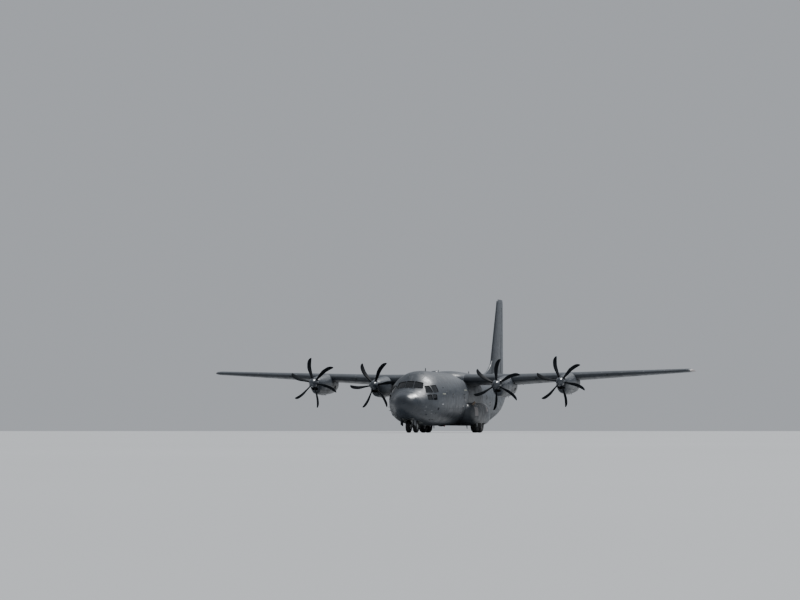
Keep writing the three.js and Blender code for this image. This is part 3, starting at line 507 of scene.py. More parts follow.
# %% Fuselage frames
# Columns: station, top, bottom, height of the widest line, half width, power of the lower curve
FUSELAGE = [
    [0.0, 2.34, 2.06, 2.2, 0.14, 2],
    [0.12, 2.6, 1.8, 2.19, 0.43, 2],
    [0.4, 2.88, 1.54, 2.17, 0.74, 2],
    [0.8, 3.06, 1.31, 2.16, 0.98, 2],
    [1.25, 3.21, 1.12, 2.18, 1.22, 2.1],
    [1.8, 3.38, 0.96, 2.25, 1.46, 2.2],
    [2.45, 3.9, 0.83, 2.36, 1.7, 2.3],
    [3.05, 4.36, 0.74, 2.48, 1.88, 2.4],
    [3.7, 4.67, 0.67, 2.6, 2.02, 2.5],
    [4.75, 4.85, 0.6, 2.7, 2.13, 2.6],
    [6.2, 4.9, 0.58, 2.74, 2.16, 2.6],
    [21.8, 4.9, 0.58, 2.74, 2.16, 2.6],
    [23.5, 4.9, 0.93, 2.82, 2.14, 2.8],
    [25.15, 4.9, 1.38, 2.98, 2.06, 3],
    [27.0, 4.88, 2.22, 3.3, 1.86, 3],
    [29.6, 4.84, 3.38, 3.98, 1.42, 2.8],
    [31.5, 4.8, 3.95, 4.34, 0.98, 2.4],
    [33.2, 4.76, 4.28, 4.5, 0.5, 2],
    [34.2, 4.7, 4.42, 4.55, 0.22, 2],
    [34.37, 4.64, 4.48, 4.56, 0.08, 2],
]


def fair_row(table, place):
    """A row of the table at any place, on a cubic through each column."""
    last = len(table) - 2
    k = min(last, max(0, sum(row[0] <= place for row in table) - 1))
    steps = [b[0] - a[0] for a, b in zip(table, table[1:])]
    t = (place - table[k][0]) / steps[k]
    row = []
    for column in range(len(table[0])):
        rises = [(b[column] - a[column]) / h for a, b, h in zip(table, table[1:], steps)]

        def slope(i):
            if i == 0 or i > last:
                return rises[min(i, last)]
            before, after = rises[i - 1], rises[i]
            if before * after <= 0:
                return 0.0
            return 2 * before * after / (before + after)

        a, b = table[k][column], table[k + 1][column]
        m, n = slope(k) * steps[k], slope(k + 1) * steps[k]
        row.append(a * (1 + 2 * t) * (1 - t) ** 2 + m * t * (1 - t) ** 2
                   + b * t * t * (3 - 2 * t) - n * t * t * (1 - t))
    return row


def signed_power(value, power):
    return math.copysign(abs(value) ** power, value)


def fuselage_rib(station, inset=0.0, points=96):
    _, top, bottom, widest, half, power = fair_row(FUSELAGE, station)
    rib = []
    for angle in turns(points):
        side, up = math.sin(angle), math.cos(angle)
        bend = 1.0 if up >= 0 else 2.0 / power
        reach = top - inset - widest if up >= 0 else widest - bottom - inset
        rib.append(((half - inset) * signed_power(side, bend), station,
                    widest + reach * signed_power(up, bend)))
    return rib


def fuselage_part(front, back, inset=0.0, pitch=0.3):
    count = max(2, round((back - front) / pitch))
    return loft([fuselage_rib(station, inset) for station in spread(front, back, count)])


def skin_layer(front, back, outer, inner, pitch=0.12):
    """The skin between two depths, open at both ends."""
    return cut(fuselage_part(front, back, outer, pitch),
               fuselage_part(front - 0.1, back + 0.1, inner, pitch))


print("widest frame", round(max(row[4] for row in FUSELAGE) * 2, 2), "m")


# %% [markdown]
# The radome is the blunt cone over the radar. The table starts with a flat disc, so the tip
# is drawn as a parabola instead, which meets the frame behind it at the same slope.

# %% Radome
TIP = 0.4
TIP_CENTRE = Vector((0, 0, 2.2))
RADOME_SEAM = 0.004


def tip_rib(station):
    """Rib near the tip: the frame at the tip's end, drawn in along a parabola."""
    part = station / TIP
    reach = math.sqrt(part) * (1 + 0.085 * (1 - part))
    return [TIP_CENTRE + (Vector((x, 0, z)) - TIP_CENTRE) * reach + Vector((0, station, 0))
            for x, _, z in fuselage_rib(TIP)]


radome_ribs = [tip_rib(TIP * (i / 18) ** 2) for i in range(1, 18)]
radome_ribs += [fuselage_rib(station) for station in spread(TIP, RADOME_JOINT - RADOME_SEAM, 12)]
finish(loft(radome_ribs), "radome_shell", "root", radome_paint, ["radome"])

# %% [markdown]
# The nose section carries the flight deck. Its skin is the space between two lofts.
# The windscreen has three panes in front and four on each side. Each opening is cut straight
# through the skin, and the pane itself is the same cutter crossed with a thinner skin, so it
# fits its frame.

# %% Flight deck windows
FRONT_PANES = [
    [(-0.3, 3.5), (0.3, 3.5), (0.3, 4.03), (-0.3, 4.03)],
    [(0.36, 3.5), (1.05, 3.44), (0.97, 3.9), (0.36, 4.02)],
]
SIDE_PANES = [
    [(2.22, 3.12), (2.92, 3.14), (2.92, 3.68), (2.57, 3.64)],
    [(3.02, 3.14), (3.72, 3.18), (3.72, 3.74), (3.02, 3.68)],
    [(2.1, 2.58), (2.66, 2.56), (2.66, 2.98), (2.2, 2.94)],
    [(2.76, 2.56), (3.34, 2.56), (3.34, 3.0), (2.76, 2.99)],
]
FRONT_REACH = (1.6, 3.3)
SIDE_REACH = (0.9, 2.4)


def rounded(outline, radius=0.05):
    """The outline with its corners rounded off."""
    corners = []
    for i, corner in enumerate(outline):
        here = Vector(corner)
        before = (Vector(outline[i - 1]) - here).normalized() * radius
        after = (Vector(outline[(i + 1) % len(outline)]) - here).normalized() * radius
        for t in spread(0, 1, 4):
            corners.append(tuple(here + before * (1 - t) ** 2 + after * t ** 2))
    return corners


def grown(outline, by):
    centre = sum((Vector(p) for p in outline), Vector((0, 0))) / len(outline)
    return [tuple(Vector(p) + (Vector(p) - centre).normalized() * by) for p in outline]


def window_cutters(by=0.0):
    cutters = []
    for i, pane in enumerate(FRONT_PANES):
        cutter = block("y", rounded(grown(pane, by)), *FRONT_REACH)
        cutters += [cutter] if i == 0 else [cutter, mirrored(cutter)]
    for pane in SIDE_PANES:
        cutter = block("x", rounded(grown(pane, by)), *SIDE_REACH)
        cutters += [cutter, mirrored(cutter)]
    return cutters


print(len(window_cutters()), "panes")

# %% [markdown]
# The crew door stands square to its own hinge, which follows the narrowing nose, so its
# cutter is a block turned about the vertical. The nose wheel well is two blocks in a line.

# %% Crew door and nose well
DOOR_GAP = 0.012
CREW_DOOR = (-0.38, 0.38, 1.04, 2.18)
CREW_DOOR_PLACE = (1.39, 3.63, 0)
CREW_DOOR_TURN = math.radians(-13)
CREW_DOOR_CORNER = 0.09
NOSE_WELL = {"half": 0.76, "front": 2.25, "back": 3.85, "top": 1.75, "slot_half": 0.5,
             "slot_front": 1.42}


def door_outline(front, back, sill, head, by=0.0, below=None):
    below = by if below is None else below
    return [(front - by, sill - below), (back + by, sill - below),
            (back + by, head + by), (front - by, head + by)]


def at_crew_door(shape):
    turn = Matrix.Translation(CREW_DOOR_PLACE) @ Matrix.Rotation(CREW_DOOR_TURN, 4, "Z")
    bmesh.ops.transform(shape, matrix=turn, verts=shape.verts)
    return shape


def crew_door_block(by, below):
    outline = rounded(door_outline(*CREW_DOOR, by, below), CREW_DOOR_CORNER)
    return at_crew_door(block("x", outline, -0.7, 1.0))


def nose_well(by):
    half, slot_half = NOSE_WELL["half"] + by, NOSE_WELL["slot_half"] + by
    front, back, top = NOSE_WELL["front"], NOSE_WELL["back"] + by, NOSE_WELL["top"] + by
    rear = slab((-half, half), (front - by, back), (-1, top))
    slot = slab((-slot_half, slot_half), (NOSE_WELL["slot_front"] - by, front + 0.1), (-1, top))
    return combine(rear, slot, "UNION")


nose_outer = fuselage_part(RADOME_JOINT, NOSE_JOINT, pitch=0.12)
nose_inner = cut(fuselage_part(1.5, 4.9, SKIN, 0.15), nose_well(0.05))
nose_skin = cut(nose_outer, nose_inner, nose_well(0.0), crew_door_block(DOOR_GAP, 0.03),
                *window_cutters())
finish(nose_skin, "nose_skin", "root", fuselage_paint, ["nose_fuselage"])

# %% [markdown]
# Each pane sits a little inside the skin with a thin dark seal round it, as on the real
# windscreen. The seal is the pane grown by its width, less the pane.

# %% Panes and seals
pane_layer = skin_layer(1.4, 4.2, 0.028, 0.055)
seal_layer = skin_layer(1.4, 4.2, -0.006, 0.05)
panes = [combine(pane_layer, cutter, "INTERSECT") for cutter in window_cutters()]
finish(heap(*panes), "windscreen_panes", "root", window_finish,
       ["flight_deck_glazing"])
frames = [combine(seal_layer, cutter, "INTERSECT") for cutter in window_cutters(0.018)]
frames = [cut(outer, inner) for outer, inner in zip(frames, window_cutters(-0.016))]
finish(heap(*frames), "windscreen_seals", "root", boot_finish)

# %% [markdown]
# The crew door is the piece of skin that its block takes out. It drops on its hinge to
# become the stairs, whose treads come later with the hinges.

# %% Crew door
crew_door = combine(skin_layer(2.9, 4.3, 0.0, SKIN), crew_door_block(0.0, 0.0), "INTERSECT")
finish(crew_door, "crew_door_skin", "crew_door", fuselage_paint, ["crew_door"])

# %% [markdown]
# Behind the nose the skin is a long tube, cut in three where the real sections join.
# The wing sits in a notch, the main wheels fold up into boxes in its sides, and the two
# paratroop doors are let in behind them.

# %% Forward and centre sections
GAP = 0.0006
BAY = 0.6
MAIN_WELL = {"inner": 1.62, "front": 13.75, "back": 16.97, "top": 2.2, "liner": 0.1}
PARATROOP_DOOR = (19.65, 20.56, 1.06, 2.89)


def main_well(by):
    return slab((MAIN_WELL["inner"] - by, 3.0), (MAIN_WELL["front"] - by, MAIN_WELL["back"] + by),
                (-1, MAIN_WELL["top"] + by))


def paratroop_block(by):
    return block("x", rounded(door_outline(*PARATROOP_DOOR, by), 0.12), 0.9, 2.6)


wing_notch = slab(ACROSS_HULL, (12.95, 18.6), (4.26, 6))
forward_skin = skin_layer(NOSE_JOINT + GAP, WING_JOINT - GAP, 0.0, SKIN, BAY)
finish(forward_skin, "forward_skin", "root", fuselage_paint, ["forward_fuselage"])
centre_outer = fuselage_part(WING_JOINT, TAIL_JOINT, 0.0, BAY)
centre_inner = cut(fuselage_part(WING_JOINT - 0.1, TAIL_JOINT + 0.1, SKIN, BAY),
                   both_sides(main_well(MAIN_WELL["liner"])))
centre_skin = cut(centre_outer, centre_inner, both_sides(main_well(0.0)),
                  both_sides(paratroop_block(DOOR_GAP)), wing_notch)
finish(centre_skin, "centre_skin", "root", fuselage_paint, ["centre_fuselage"])
paratroop_door = combine(skin_layer(19.4, 20.8, 0.0, SKIN, BAY), paratroop_block(0.0), "INTERSECT")
finish_pair(paratroop_door, "paratroop_door_skin_*", "root", fuselage_paint,
            "paratroop_door_*")

# %% [markdown]
# The tail sweeps up so that the ramp and the cargo door can open under it. Both are cut
# out of the tail with a running gap, and their meeting edges lean forward along the path
# of the door's edge, so that either can move first.

# %% Tail, ramp and cargo door
RAMP_HINGE = (21.82, 0.62)
DOOR_HINGE = (29.735, 3.66)
HINGE_ROD = 0.022
RAMP_EDGE = (24.9, 1.75)
DOOR_EDGE = (24.945, 1.76)
EDGE_LEAN = 0.45
BELOW = 0.3
FLOOR = 1.03
TAIL_SKIN = 0.09
TAIL_FRAME = 34.1
TAIL_CENTRE = Vector((0, TAIL_FRAME, 4.55))


def lean_to(station, height):
    return station + (height - BELOW) * EDGE_LEAN


def ramp_block(by, front_by):
    front = RAMP_HINGE[0] + HINGE_ROD + GAP - front_by
    outline = [(front, FLOOR + by), (front, BELOW), (lean_to(*RAMP_EDGE) + by, BELOW),
               (RAMP_EDGE[0] + by, RAMP_EDGE[1] + by)]
    return block("x", outline, -1.5 - by, 1.5 + by)


def cargo_door_block(by):
    back = DOOR_HINGE[0] - HINGE_ROD - GAP + by
    side = block("x", [(lean_to(*DOOR_EDGE) - by, BELOW), (back, BELOW),
                       (back, DOOR_HINGE[1] + 2 * by), (DOOR_EDGE[0] - by, DOOR_EDGE[1] + 2 * by)],
                 -2, 2)
    plan = block("z", [(-1.45 - by, 24.6), (1.45 + by, 24.6), (0.9 + by, back),
                       (-0.9 - by, back)], -1, 6)
    return combine(side, plan, "INTERSECT")


def tail_end_ribs():
    """Ribs of the tail section: the last ones close in on a rounded end."""
    ribs = [fuselage_rib(station) for station in spread(TAIL_JOINT, TAIL_FRAME, 49)]
    last = ribs[-1]
    for part in (0.3, 0.55, 0.78, 0.93, 1.0):
        reach = math.sqrt(1 - part ** 2) if part < 1 else 0.04
        back = Vector((0, 0.27 * part, 0))
        ribs.append([TAIL_CENTRE + (Vector(p) - TAIL_CENTRE) * reach + back for p in last])
    return ribs


tail_outer = loft(tail_end_ribs())
tail_inner = fuselage_part(TAIL_JOINT - 0.1, 29.75, TAIL_SKIN, 0.3)
tail_skin = cut(tail_outer, tail_inner, ramp_block(DOOR_GAP, 0.2), cargo_door_block(DOOR_GAP))
finish(tail_skin, "tail_skin", "root", fuselage_paint, ["tail_fuselage"])
belly = fuselage_part(TAIL_JOINT, 29.75, 0.0, 0.25)
ramp_hollow = combine(fuselage_part(TAIL_JOINT - 0.1, 26, TAIL_SKIN, 0.3),
                      ramp_block(-TAIL_SKIN, 0.05), "INTERSECT")
ramp_shape = cut(combine(belly, ramp_block(0.0, 0.0), "INTERSECT"), ramp_hollow)
finish(ramp_shape, "ramp_shell", "cargo_ramp", fuselage_paint, ["cargo_ramp"])
door_hollow = combine(fuselage_part(25.3, 29.5, TAIL_SKIN, 0.3),
                      block("z", [(-1.33, 25.3), (1.33, 25.3), (0.78, 29.5), (-0.78, 29.5)], -1, 6),
                      "INTERSECT")
door_shape = cut(combine(belly, cargo_door_block(0.0), "INTERSECT"), door_hollow)
finish(door_shape, "cargo_door_shell", "cargo_door", fuselage_paint, ["cargo_door"])


# %% [markdown]
# Wing, tailplane and fin share one aerofoil family. A rib is given by its leading edge, chord,
# thickness and incidence, and the points crowd towards the leading edge, where it bends most.

# %% Aerofoil ribs
CENTRE_WING_HALF = 5.6
TAIL_HALF = 8.025
# Columns: distance from the centre line, leading edge station and height, chord,
# thickness over chord, incidence in degrees
WING = [
    [0, 13.3, 4.35, 4.88, 0.18, 3],
    [CENTRE_WING_HALF, 13.3, 4.35, 4.88, 0.18, 3],
    [19.75, 14.03, 4.97, 2.52, 0.12, 1],
    [HALF_SPAN, 14.4, 5.0, 1.7, 0.05, 1],
]
TAILPLANE = [
    [0, 28.6, 4.92, 4.45, 0.11, 0],
    [7.75, 31.1, 4.92, 1.9, 0.1, 0],
    [TAIL_HALF, 31.4, 4.92, 1.4, 0.05, 0],
]
# Columns: height, leading edge station, chord, thickness over chord
FIN = [
    [4.5, 28.85, 5.17, 0.11],
    [11.35, 31.62, 2.35, 0.1],
    [HEIGHT, 32.15, 1.5, 0.04],
]
WING_CAMBER = 0.02
TRAILING_EDGE = 0.004
CHORD_STEPS = 22


def straight_row(table, place):
    k = max(0, min(len(table) - 2, sum(row[0] < place for row in table) - 1))
    low, high = table[k], table[k + 1]
    t = (place - low[0]) / (high[0] - low[0])
    return [a + (b - a) * t for a, b in zip(low, high)]


def half_thickness(u, thickness):
    return 5 * thickness * (0.2969 * math.sqrt(u) - 0.126 * u - 0.3516 * u ** 2
                            + 0.2843 * u ** 3 - 0.1036 * u ** 4)


def middle_line(u, camber, incidence):
    return 4 * camber * u * (1 - u) - u * math.tan(math.radians(incidence))


def wing_rib(row, camber, grow=0.0):
    x, front, height, chord, thickness, incidence = row

    def at(u, side):
        half = side * (half_thickness(u, thickness) + TRAILING_EDGE / 2)
        z = height + chord * (middle_line(u, camber, incidence) + half) + side * grow
        return (x, front - grow + u * (chord + 2 * grow), z)

    parts = [(1 - math.cos(math.pi * i / CHORD_STEPS)) / 2 for i in range(1, CHORD_STEPS + 1)]
    upper = [at(u, 1) for u in reversed(parts)]
    return upper + [at(0, 0)] + [at(u, -1) for u in parts]


def rib_rows(table, inner, outer, more=()):
    """Rows from inner to outer, with a rounded tip where the last two rows of the table lie."""
    low, high = table[-2], table[-1]
    straight = {inner, min(outer, low[0]), *more}
    straight |= {row[0] for row in table[:-1] if inner < row[0] < outer}
    rows = [straight_row(table, place) for place in sorted(straight)]
    if outer > low[0]:
        for angle in spread(0, math.pi / 2, 6)[1:]:
            row = [a + (b - a) * (1 - math.cos(angle)) for a, b in zip(low, high)]
            row[0] = low[0] + (high[0] - low[0]) * math.sin(angle)
            rows.append(row)
    return rows


def lifting_part(table, camber, inner, outer, grow=0.0):
    return loft([wing_rib(row, camber, grow) for row in rib_rows(table, inner, outer)])


print("points on a rib", 2 * CHORD_STEPS + 1)

# %% [markdown]
# A flap, aileron or elevator is the back of the wing with a round nose on its hinge line.
# The wing loses a room a little larger than the nose can sweep.

# %% Hinged surfaces
RUNNING = 0.012
END_GAP = 0.05


def hinge_point(table, x, part, camber):
    _, front, height, chord, thickness, incidence = straight_row(table, x)
    z = height + chord * middle_line(part, camber, incidence)
    return Vector((x, front + part * chord, z)), 0.9 * chord * half_thickness(part, thickness)


def hinged_surface(whole, inner, outer, gap):
    (a, radius_a), (b, radius_b) = inner, outer
    start, end = [a.lerp(b, (x - a.x) / (b.x - a.x)) for x in (a.x + gap, b.x - gap)]
    plan = block("z", [(start.x, start.y), (end.x, end.y), (end.x, ALL_ALONG[1]),
                       (start.x, ALL_ALONG[1])], *ALL_UP)
    back = combine(whole, plan, "INTERSECT")
    nose = combine(rod(a, b, radius_a, radius_b, 48), slab((start.x, end.x), ALL_ALONG, ALL_UP),
                   "INTERSECT")
    clear = RUNNING + 0.01
    room = block("z", [(a.x, a.y - radius_a - clear), (b.x, b.y - radius_b - clear),
                       (b.x, ALL_ALONG[1]), (a.x, ALL_ALONG[1])], *ALL_UP)
    return combine(back, nose, "UNION"), room, start, end


def hinge_pins(start, end, gap, radius):
    along = (end - start).normalized()
    pins = heap(rod(start + along * 0.1, start - along * (gap + 0.02), radius),
                rod(end - along * 0.1, end + along * (gap + 0.02), radius))
    room = gap - 3 * GAP
    limits = slab((start.x - room, end.x + room), ALL_ALONG, ALL_UP)
    return combine(pins, limits, "INTERSECT")


def static_wicks(start, end, count, table):
    """Thin rods on a trailing edge that let static charge leak away."""
    wicks = []
    for i in range(count):
        x = start + (end - start) * (i + 0.5) / count
        _, front, height, chord, _, incidence = straight_row(table, x)
        root = Vector((x, front + chord - 0.02, height + chord * middle_line(1, 0, incidence)))
        wicks.append(rod(root, root + Vector((0, 0.2, 0.01)), 0.012, 0.006, 8))
    return heap(*wicks)


# %% [markdown]
# The real flaps run back and down on curved tracks. The plates at each end of a flap follow
# a circle about the axis of its hinge in the frame, which lies under the wing.

# %% Flap tracks
FLAPS = [("inboard", 2.42, 5.55), ("outboard", 5.65, 12.3)]
FLAP_HINGE = 0.74
PIVOT_DROP = 0.6
TRACK_PLATE = 0.05
TRACK_HALF = 0.035
TRACK_LEAD, TRACK_RUN = 0.32, math.radians(36) + 0.06


def flap_track(x, pin, axis_y, axis_z):
    radius = math.hypot(pin.y - axis_y, pin.z - axis_z)
    first = math.atan2(pin.z - axis_z, pin.y - axis_y)
    angles = spread(first + TRACK_LEAD, first - TRACK_RUN, 24)
    edges = ((radius + TRACK_HALF, angles), (radius - TRACK_HALF, angles[::-1]))
    outline = [(axis_y + r * math.cos(t), axis_z + r * math.sin(t))
               for r, run in edges for t in run]
    return block("x", outline, x - TRACK_PLATE / 2, x + TRACK_PLATE / 2)


def make_flap(name, inner, outer, whole):
    ends = [hinge_point(WING, x, FLAP_HINGE, WING_CAMBER) for x in (inner, outer)]
    flap, room, start, end = hinged_surface(whole, *ends, TRACK_PLATE + RUNNING)
    axis_y, axis_z = (start.y + end.y) / 2, min(start.z, end.z) - PIVOT_DROP
    pins, tracks = [], []
    for pin, side in ((start, -1), (end, 1)):
        tip = pin + Vector((side * (RUNNING - GAP), 0, 0))
        pins.append(rod(pin - Vector((side * 0.1, 0, 0)), tip, 0.02))
        tracks.append(flap_track(pin.x + side * (RUNNING + TRACK_PLATE / 2), pin, axis_y, axis_z))
    node = f"flap_{name}_*"
    finish_pair(heap(flap, *pins), node + "_skin", node, wing_paint, node)
    return room, heap(*tracks)


def centre_wing(grow=0.0):
    """The part between the outer wings, which has one rib all over."""
    return loft([wing_rib([x, *WING[0][1:]], WING_CAMBER, grow)
                 for x in (-CENTRE_WING_HALF, CENTRE_WING_HALF)])


half_wing = lifting_part(WING, WING_CAMBER, 0, CENTRE_WING_HALF)
centre_room, centre_tracks = make_flap(*FLAPS[0], half_wing)
centre_shape = cut(centre_wing(), both_sides(centre_room))
finish(heap(centre_shape, both_sides(centre_tracks)), "wing_centre_skin", "root",
       wing_paint, ["wing_centre"])

# %% [markdown]
# The outer wing carries the outboard flap and the aileron, and ends in a rounded tip.

# %% Outer wings and ailerons
outer_whole = lifting_part(WING, WING_CAMBER, CENTRE_WING_HALF + GAP, HALF_SPAN)
outer_room, outer_tracks = make_flap(*FLAPS[1], outer_whole)
aileron_ends = [hinge_point(WING, x, 0.75, WING_CAMBER) for x in (12.45, 19.35)]
aileron, aileron_room, start, end = hinged_surface(outer_whole, *aileron_ends, END_GAP)
aileron = heap(aileron, hinge_pins(start, end, END_GAP, 0.016), static_wicks(13, 19, 4, WING))
outer_shape = heap(cut(outer_whole, outer_room, aileron_room), outer_tracks,
                   static_wicks(19.5, 20.05, 2, WING))
finish_pair(outer_shape, "wing_outer_skin_*", "root", wing_paint, "wing_outer_*")
finish_pair(aileron, "aileron_skin_*", "aileron_*", wing_paint, "aileron_*")

# %% [markdown]
# The tailplane is one straight-backed surface through the tail, with an elevator each side.

# %% Tailplane and elevators
ELEVATOR_HINGE = 31.85


def tail_hinge(x):
    _, front, _, chord, _, _ = straight_row(TAILPLANE, x)
    return hinge_point(TAILPLANE, x, (ELEVATOR_HINGE - front) / chord, 0)


tail_half = lifting_part(TAILPLANE, 0, 0, TAIL_HALF)
elevator, elevator_room, start, end = hinged_surface(tail_half, tail_hinge(0.75), tail_hinge(7.6),
                                                     END_GAP)
elevator = heap(elevator, hinge_pins(start, end, END_GAP, 0.025),
                static_wicks(2, 7.4, 4, TAILPLANE))
tail_rows = rib_rows(TAILPLANE, 0, TAIL_HALF)
tail_rows = [[-row[0], *row[1:]] for row in reversed(tail_rows[1:])] + tail_rows
tailplane = loft([wing_rib(row, 0) for row in tail_rows])
finish(cut(tailplane, both_sides(elevator_room)), "tailplane_skin", "root",
       wing_paint, ["tailplane"])
finish_pair(elevator, "elevator_skin_*", "elevator_*", wing_paint, "elevator_*")

# %% [markdown]
# The fin is a wing on end, so its ribs are turned upright. The rudder is its back, with a
# round nose that turns on a raked hinge line.

# %% Rudder
RUDDER_LOW = Vector((0, 32.35, 5.32))
RUDDER_HIGH = Vector((0, 33.15, 11.1))
RUDDER_END_GAP = 0.02
rudder_axis = (RUDDER_HIGH - RUDDER_LOW).normalized()
rudder_back = Vector((0, rudder_axis.z, -rudder_axis.y))


def fin_rib(row):
    height, front, chord, thickness = row
    rib = wing_rib((0, front, 0, chord, thickness, 0), 0)
    return [(half, y, height) for _, y, half in rib]


def rudder_radius(point):
    _, front, chord, thickness = straight_row(FIN, point.z)
    return 0.9 * chord * half_thickness((point.y - front) / chord, thickness)


def rudder_block(low_step, high_step, low_forward=0.0, high_forward=0.0):
    low = RUDDER_LOW + rudder_axis * low_step
    high = RUDDER_HIGH + rudder_axis * high_step
    corners = [low - rudder_back * low_forward, low + rudder_back * 6,
               high + rudder_back * 6, high - rudder_back * high_forward]
    return block("x", [(c.y, c.z) for c in corners], -1, 1)


whole_fin = loft([fin_rib(row) for row in rib_rows(FIN, FIN[0][0], HEIGHT, more=(8.0,))])
radii = [rudder_radius(RUDDER_LOW), rudder_radius(RUDDER_HIGH)]
rudder_start = RUDDER_LOW + rudder_axis * RUDDER_END_GAP
rudder_end = RUDDER_HIGH - rudder_axis * RUDDER_END_GAP
rudder = combine(combine(whole_fin, rudder_block(RUDDER_END_GAP, -RUDDER_END_GAP), "INTERSECT"),
                 rod(rudder_start, rudder_end, *radii, 48), "UNION")
rudder = heap(rudder, rod(RUDDER_LOW + rudder_axis * GAP, rudder_start, 0.03),
              rod(rudder_end, RUDDER_HIGH - rudder_axis * GAP, 0.03))
finish(rudder, "rudder_skin", "rudder", fin_paint, ["rudder"])

# %% [markdown]
# The fin loses a room just wider than the rudder's nose. A thin dorsal fillet with a round
# top leads up into it along the crown.

# %% Fin with its fillet
# Columns: station, top of the fillet
FILLET = [[25.7, 4.9], [27.5, 5.26], [28.4, 5.55], [29.0, 5.86], [29.62, 6.34]]
FILLET_HALF = 0.08
FILLET_FOOT = 4.6


def fillet_rib(station):
    top = fair_row(FILLET, station)[1] - FILLET_HALF
    arch = [(FILLET_HALF * math.cos(t), station, top + FILLET_HALF * math.sin(t))
            for t in spread(0, math.pi, 12)]
    return [(FILLET_HALF, station, FILLET_FOOT), *arch, (-FILLET_HALF, station, FILLET_FOOT)]


fillet = loft([fillet_rib(station) for station in spread(FILLET[0][0], FILLET[-1][0], 28)])
rudder_room = [radius + RUNNING + 0.002 for radius in radii]
fin_shape = cut(whole_fin, rudder_block(0, 0, *rudder_room))
finish(heap(fin_shape, fillet), "fin_skin", "root", fin_paint, ["fin"])

# %% [markdown]
# The fairing over the wing roots is a low hump, and the sponsons are long blisters that
# cover the folded main wheels. Both are lofts whose ribs are arches or squared ovals.

# %% Wing root fairing and sponsons
# Columns: station, half width, top
FAIRING = [
    [11.9, 0.9, 4.84], [12.9, 1.5, 4.98], [14.4, 1.75, 5.06], [17.2, 1.75, 5.02],
    [18.8, 1.5, 4.95], [20.2, 0.9, 4.84],
]
# Columns: station, centre, half width, middle height, half height
SPONSON = [
    [11.7, 1.85, 0.2, 1.7, 0.25], [12.2, 1.8, 0.64, 1.6, 0.74], [12.95, 1.75, 0.9, 1.55, 0.93],
    [13.7, 1.75, 0.98, 1.53, 0.95], [17.1, 1.75, 0.98, 1.53, 0.95], [18.2, 1.75, 0.86, 1.53, 0.9],
    [19.0, 1.78, 0.55, 1.5, 0.68], [19.45, 1.82, 0.25, 1.5, 0.35],
]
FAIRING_FOOT = 4.28
SPONSON_BEND = 2 / 2.6
SPONSON_WELL = {"inner": 1.5, "outer": 2.5, "top": 1.95}


def fairing_rib(station):
    _, half, top = fair_row(FAIRING, station)
    return [(half * math.cos(t), station,
             FAIRING_FOOT + (top - FAIRING_FOOT) * math.sin(t) ** 0.7)
            for t in spread(0, math.pi, 36)]


def sponson_rib(station, inset=0.0):
    _, centre, half, middle, high = fair_row(SPONSON, station)
    return [(centre + (half - inset) * signed_power(math.sin(t), SPONSON_BEND), station,
             middle + (high - inset) * signed_power(math.cos(t), SPONSON_BEND))
            for t in turns(64)]


def well_slab(inner, outer, low, high, by=0.0):
    """A block over the length of the main wheel well."""
    along = (MAIN_WELL["front"] - by, MAIN_WELL["back"] + by)
    return slab((inner - by, outer), along, (low, high + by))


fairing = cut(loft([fairing_rib(s) for s in stations(11.9, 20.2, 0.25)]), centre_wing(GAP),
              cut(fuselage_part(11.5, 20.6, -GAP, 0.4), wing_notch))
finish(fairing, "wing_root_fairing_skin", "root", fuselage_paint,
       ["wing_root_fairing"])
sponson_well = well_slab(SPONSON_WELL["inner"], SPONSON_WELL["outer"], -1, SPONSON_WELL["top"])
sponson = cut(loft([sponson_rib(s) for s in stations(11.7, 19.45, 0.155)]),
              fuselage_part(11, 20, -GAP, 0.5), sponson_well)
finish_pair(sponson, "sponson_skin_*", "root", fuselage_paint, "sponson_*")


# %% [markdown]
# Each nacelle is a loft of ovals behind its spinner. Under the spinner lies the chin intake,
# a duct with a rounded mouth, and the exhaust pipe ends in the nacelle's tail.

# %% Nacelle shapes
# Name, distance from the centre line, height of the shaft, station of the propeller,
# degrees that the first blade stands from upright on the port and the starboard side
ENGINES = [
    ("inboard", 5.1, 3.85, 10.0, 3, -35),
    ("outboard", 10.3, 4.07, 10.2, -15, -12),
]
# Columns: distance aft of the propeller, half width, top and bottom from the shaft
NACELLE = [
    [0.312, 0.4, 0.4, -0.62],
    [0.7, 0.5, 0.5, -0.88],
    [1.7, 0.6, 0.62, -0.96],
    [3.3, 0.62, 0.78, -0.92],
    [5.0, 0.56, 0.7, -0.78],
    [6.0, 0.36, 0.4, -0.5],
]
NACELLE_FRONT, NACELLE_BACK = 0.312, 6.0
EDGE = 0.07


def nacelle_rib(aft, grow=0.0):
    _, half, top, bottom = fair_row(NACELLE, aft)
    near_end = min(1.0, (aft - NACELLE_FRONT) / EDGE, (NACELLE_BACK - aft) / EDGE)
    inset = 0.035 * (1 - math.sqrt(1 - (1 - near_end) ** 2)) - grow
    rib = []
    for t in turns(64):
        side, up = math.sin(t), math.cos(t)
        reach = top - inset if up >= 0 else -bottom - inset
        rib.append(((half - inset) * signed_power(side, 1 if up >= 0 else 0.86), aft, reach * up))
    return rib


def duct_rib(aft, grow):
    return [((0.27 + grow) * signed_power(math.sin(t), 0.55), aft,
             -0.49 + (0.085 + grow) * signed_power(math.cos(t), 0.8)) for t in turns(48)]


def duct(extra, front, back):
    """The intake duct, whose mouth flares over its first centimetres."""
    places = sorted({front, back, 0.31, 0.33, 0.36, 0.4, 0.46})
    places = [place for place in places if front <= place <= back]
    flares = [0.02 * max(0.0, 1 - (place - NACELLE_FRONT) / 0.15) ** 2 for place in places]
    return loft([duct_rib(place, extra + min(0.02, flare)) for place, flare in zip(places, flares)])


exhaust_axis = Vector((0, 1.1, -0.06)).normalized()
exhaust_front = Vector((0, 5.4, -0.14))


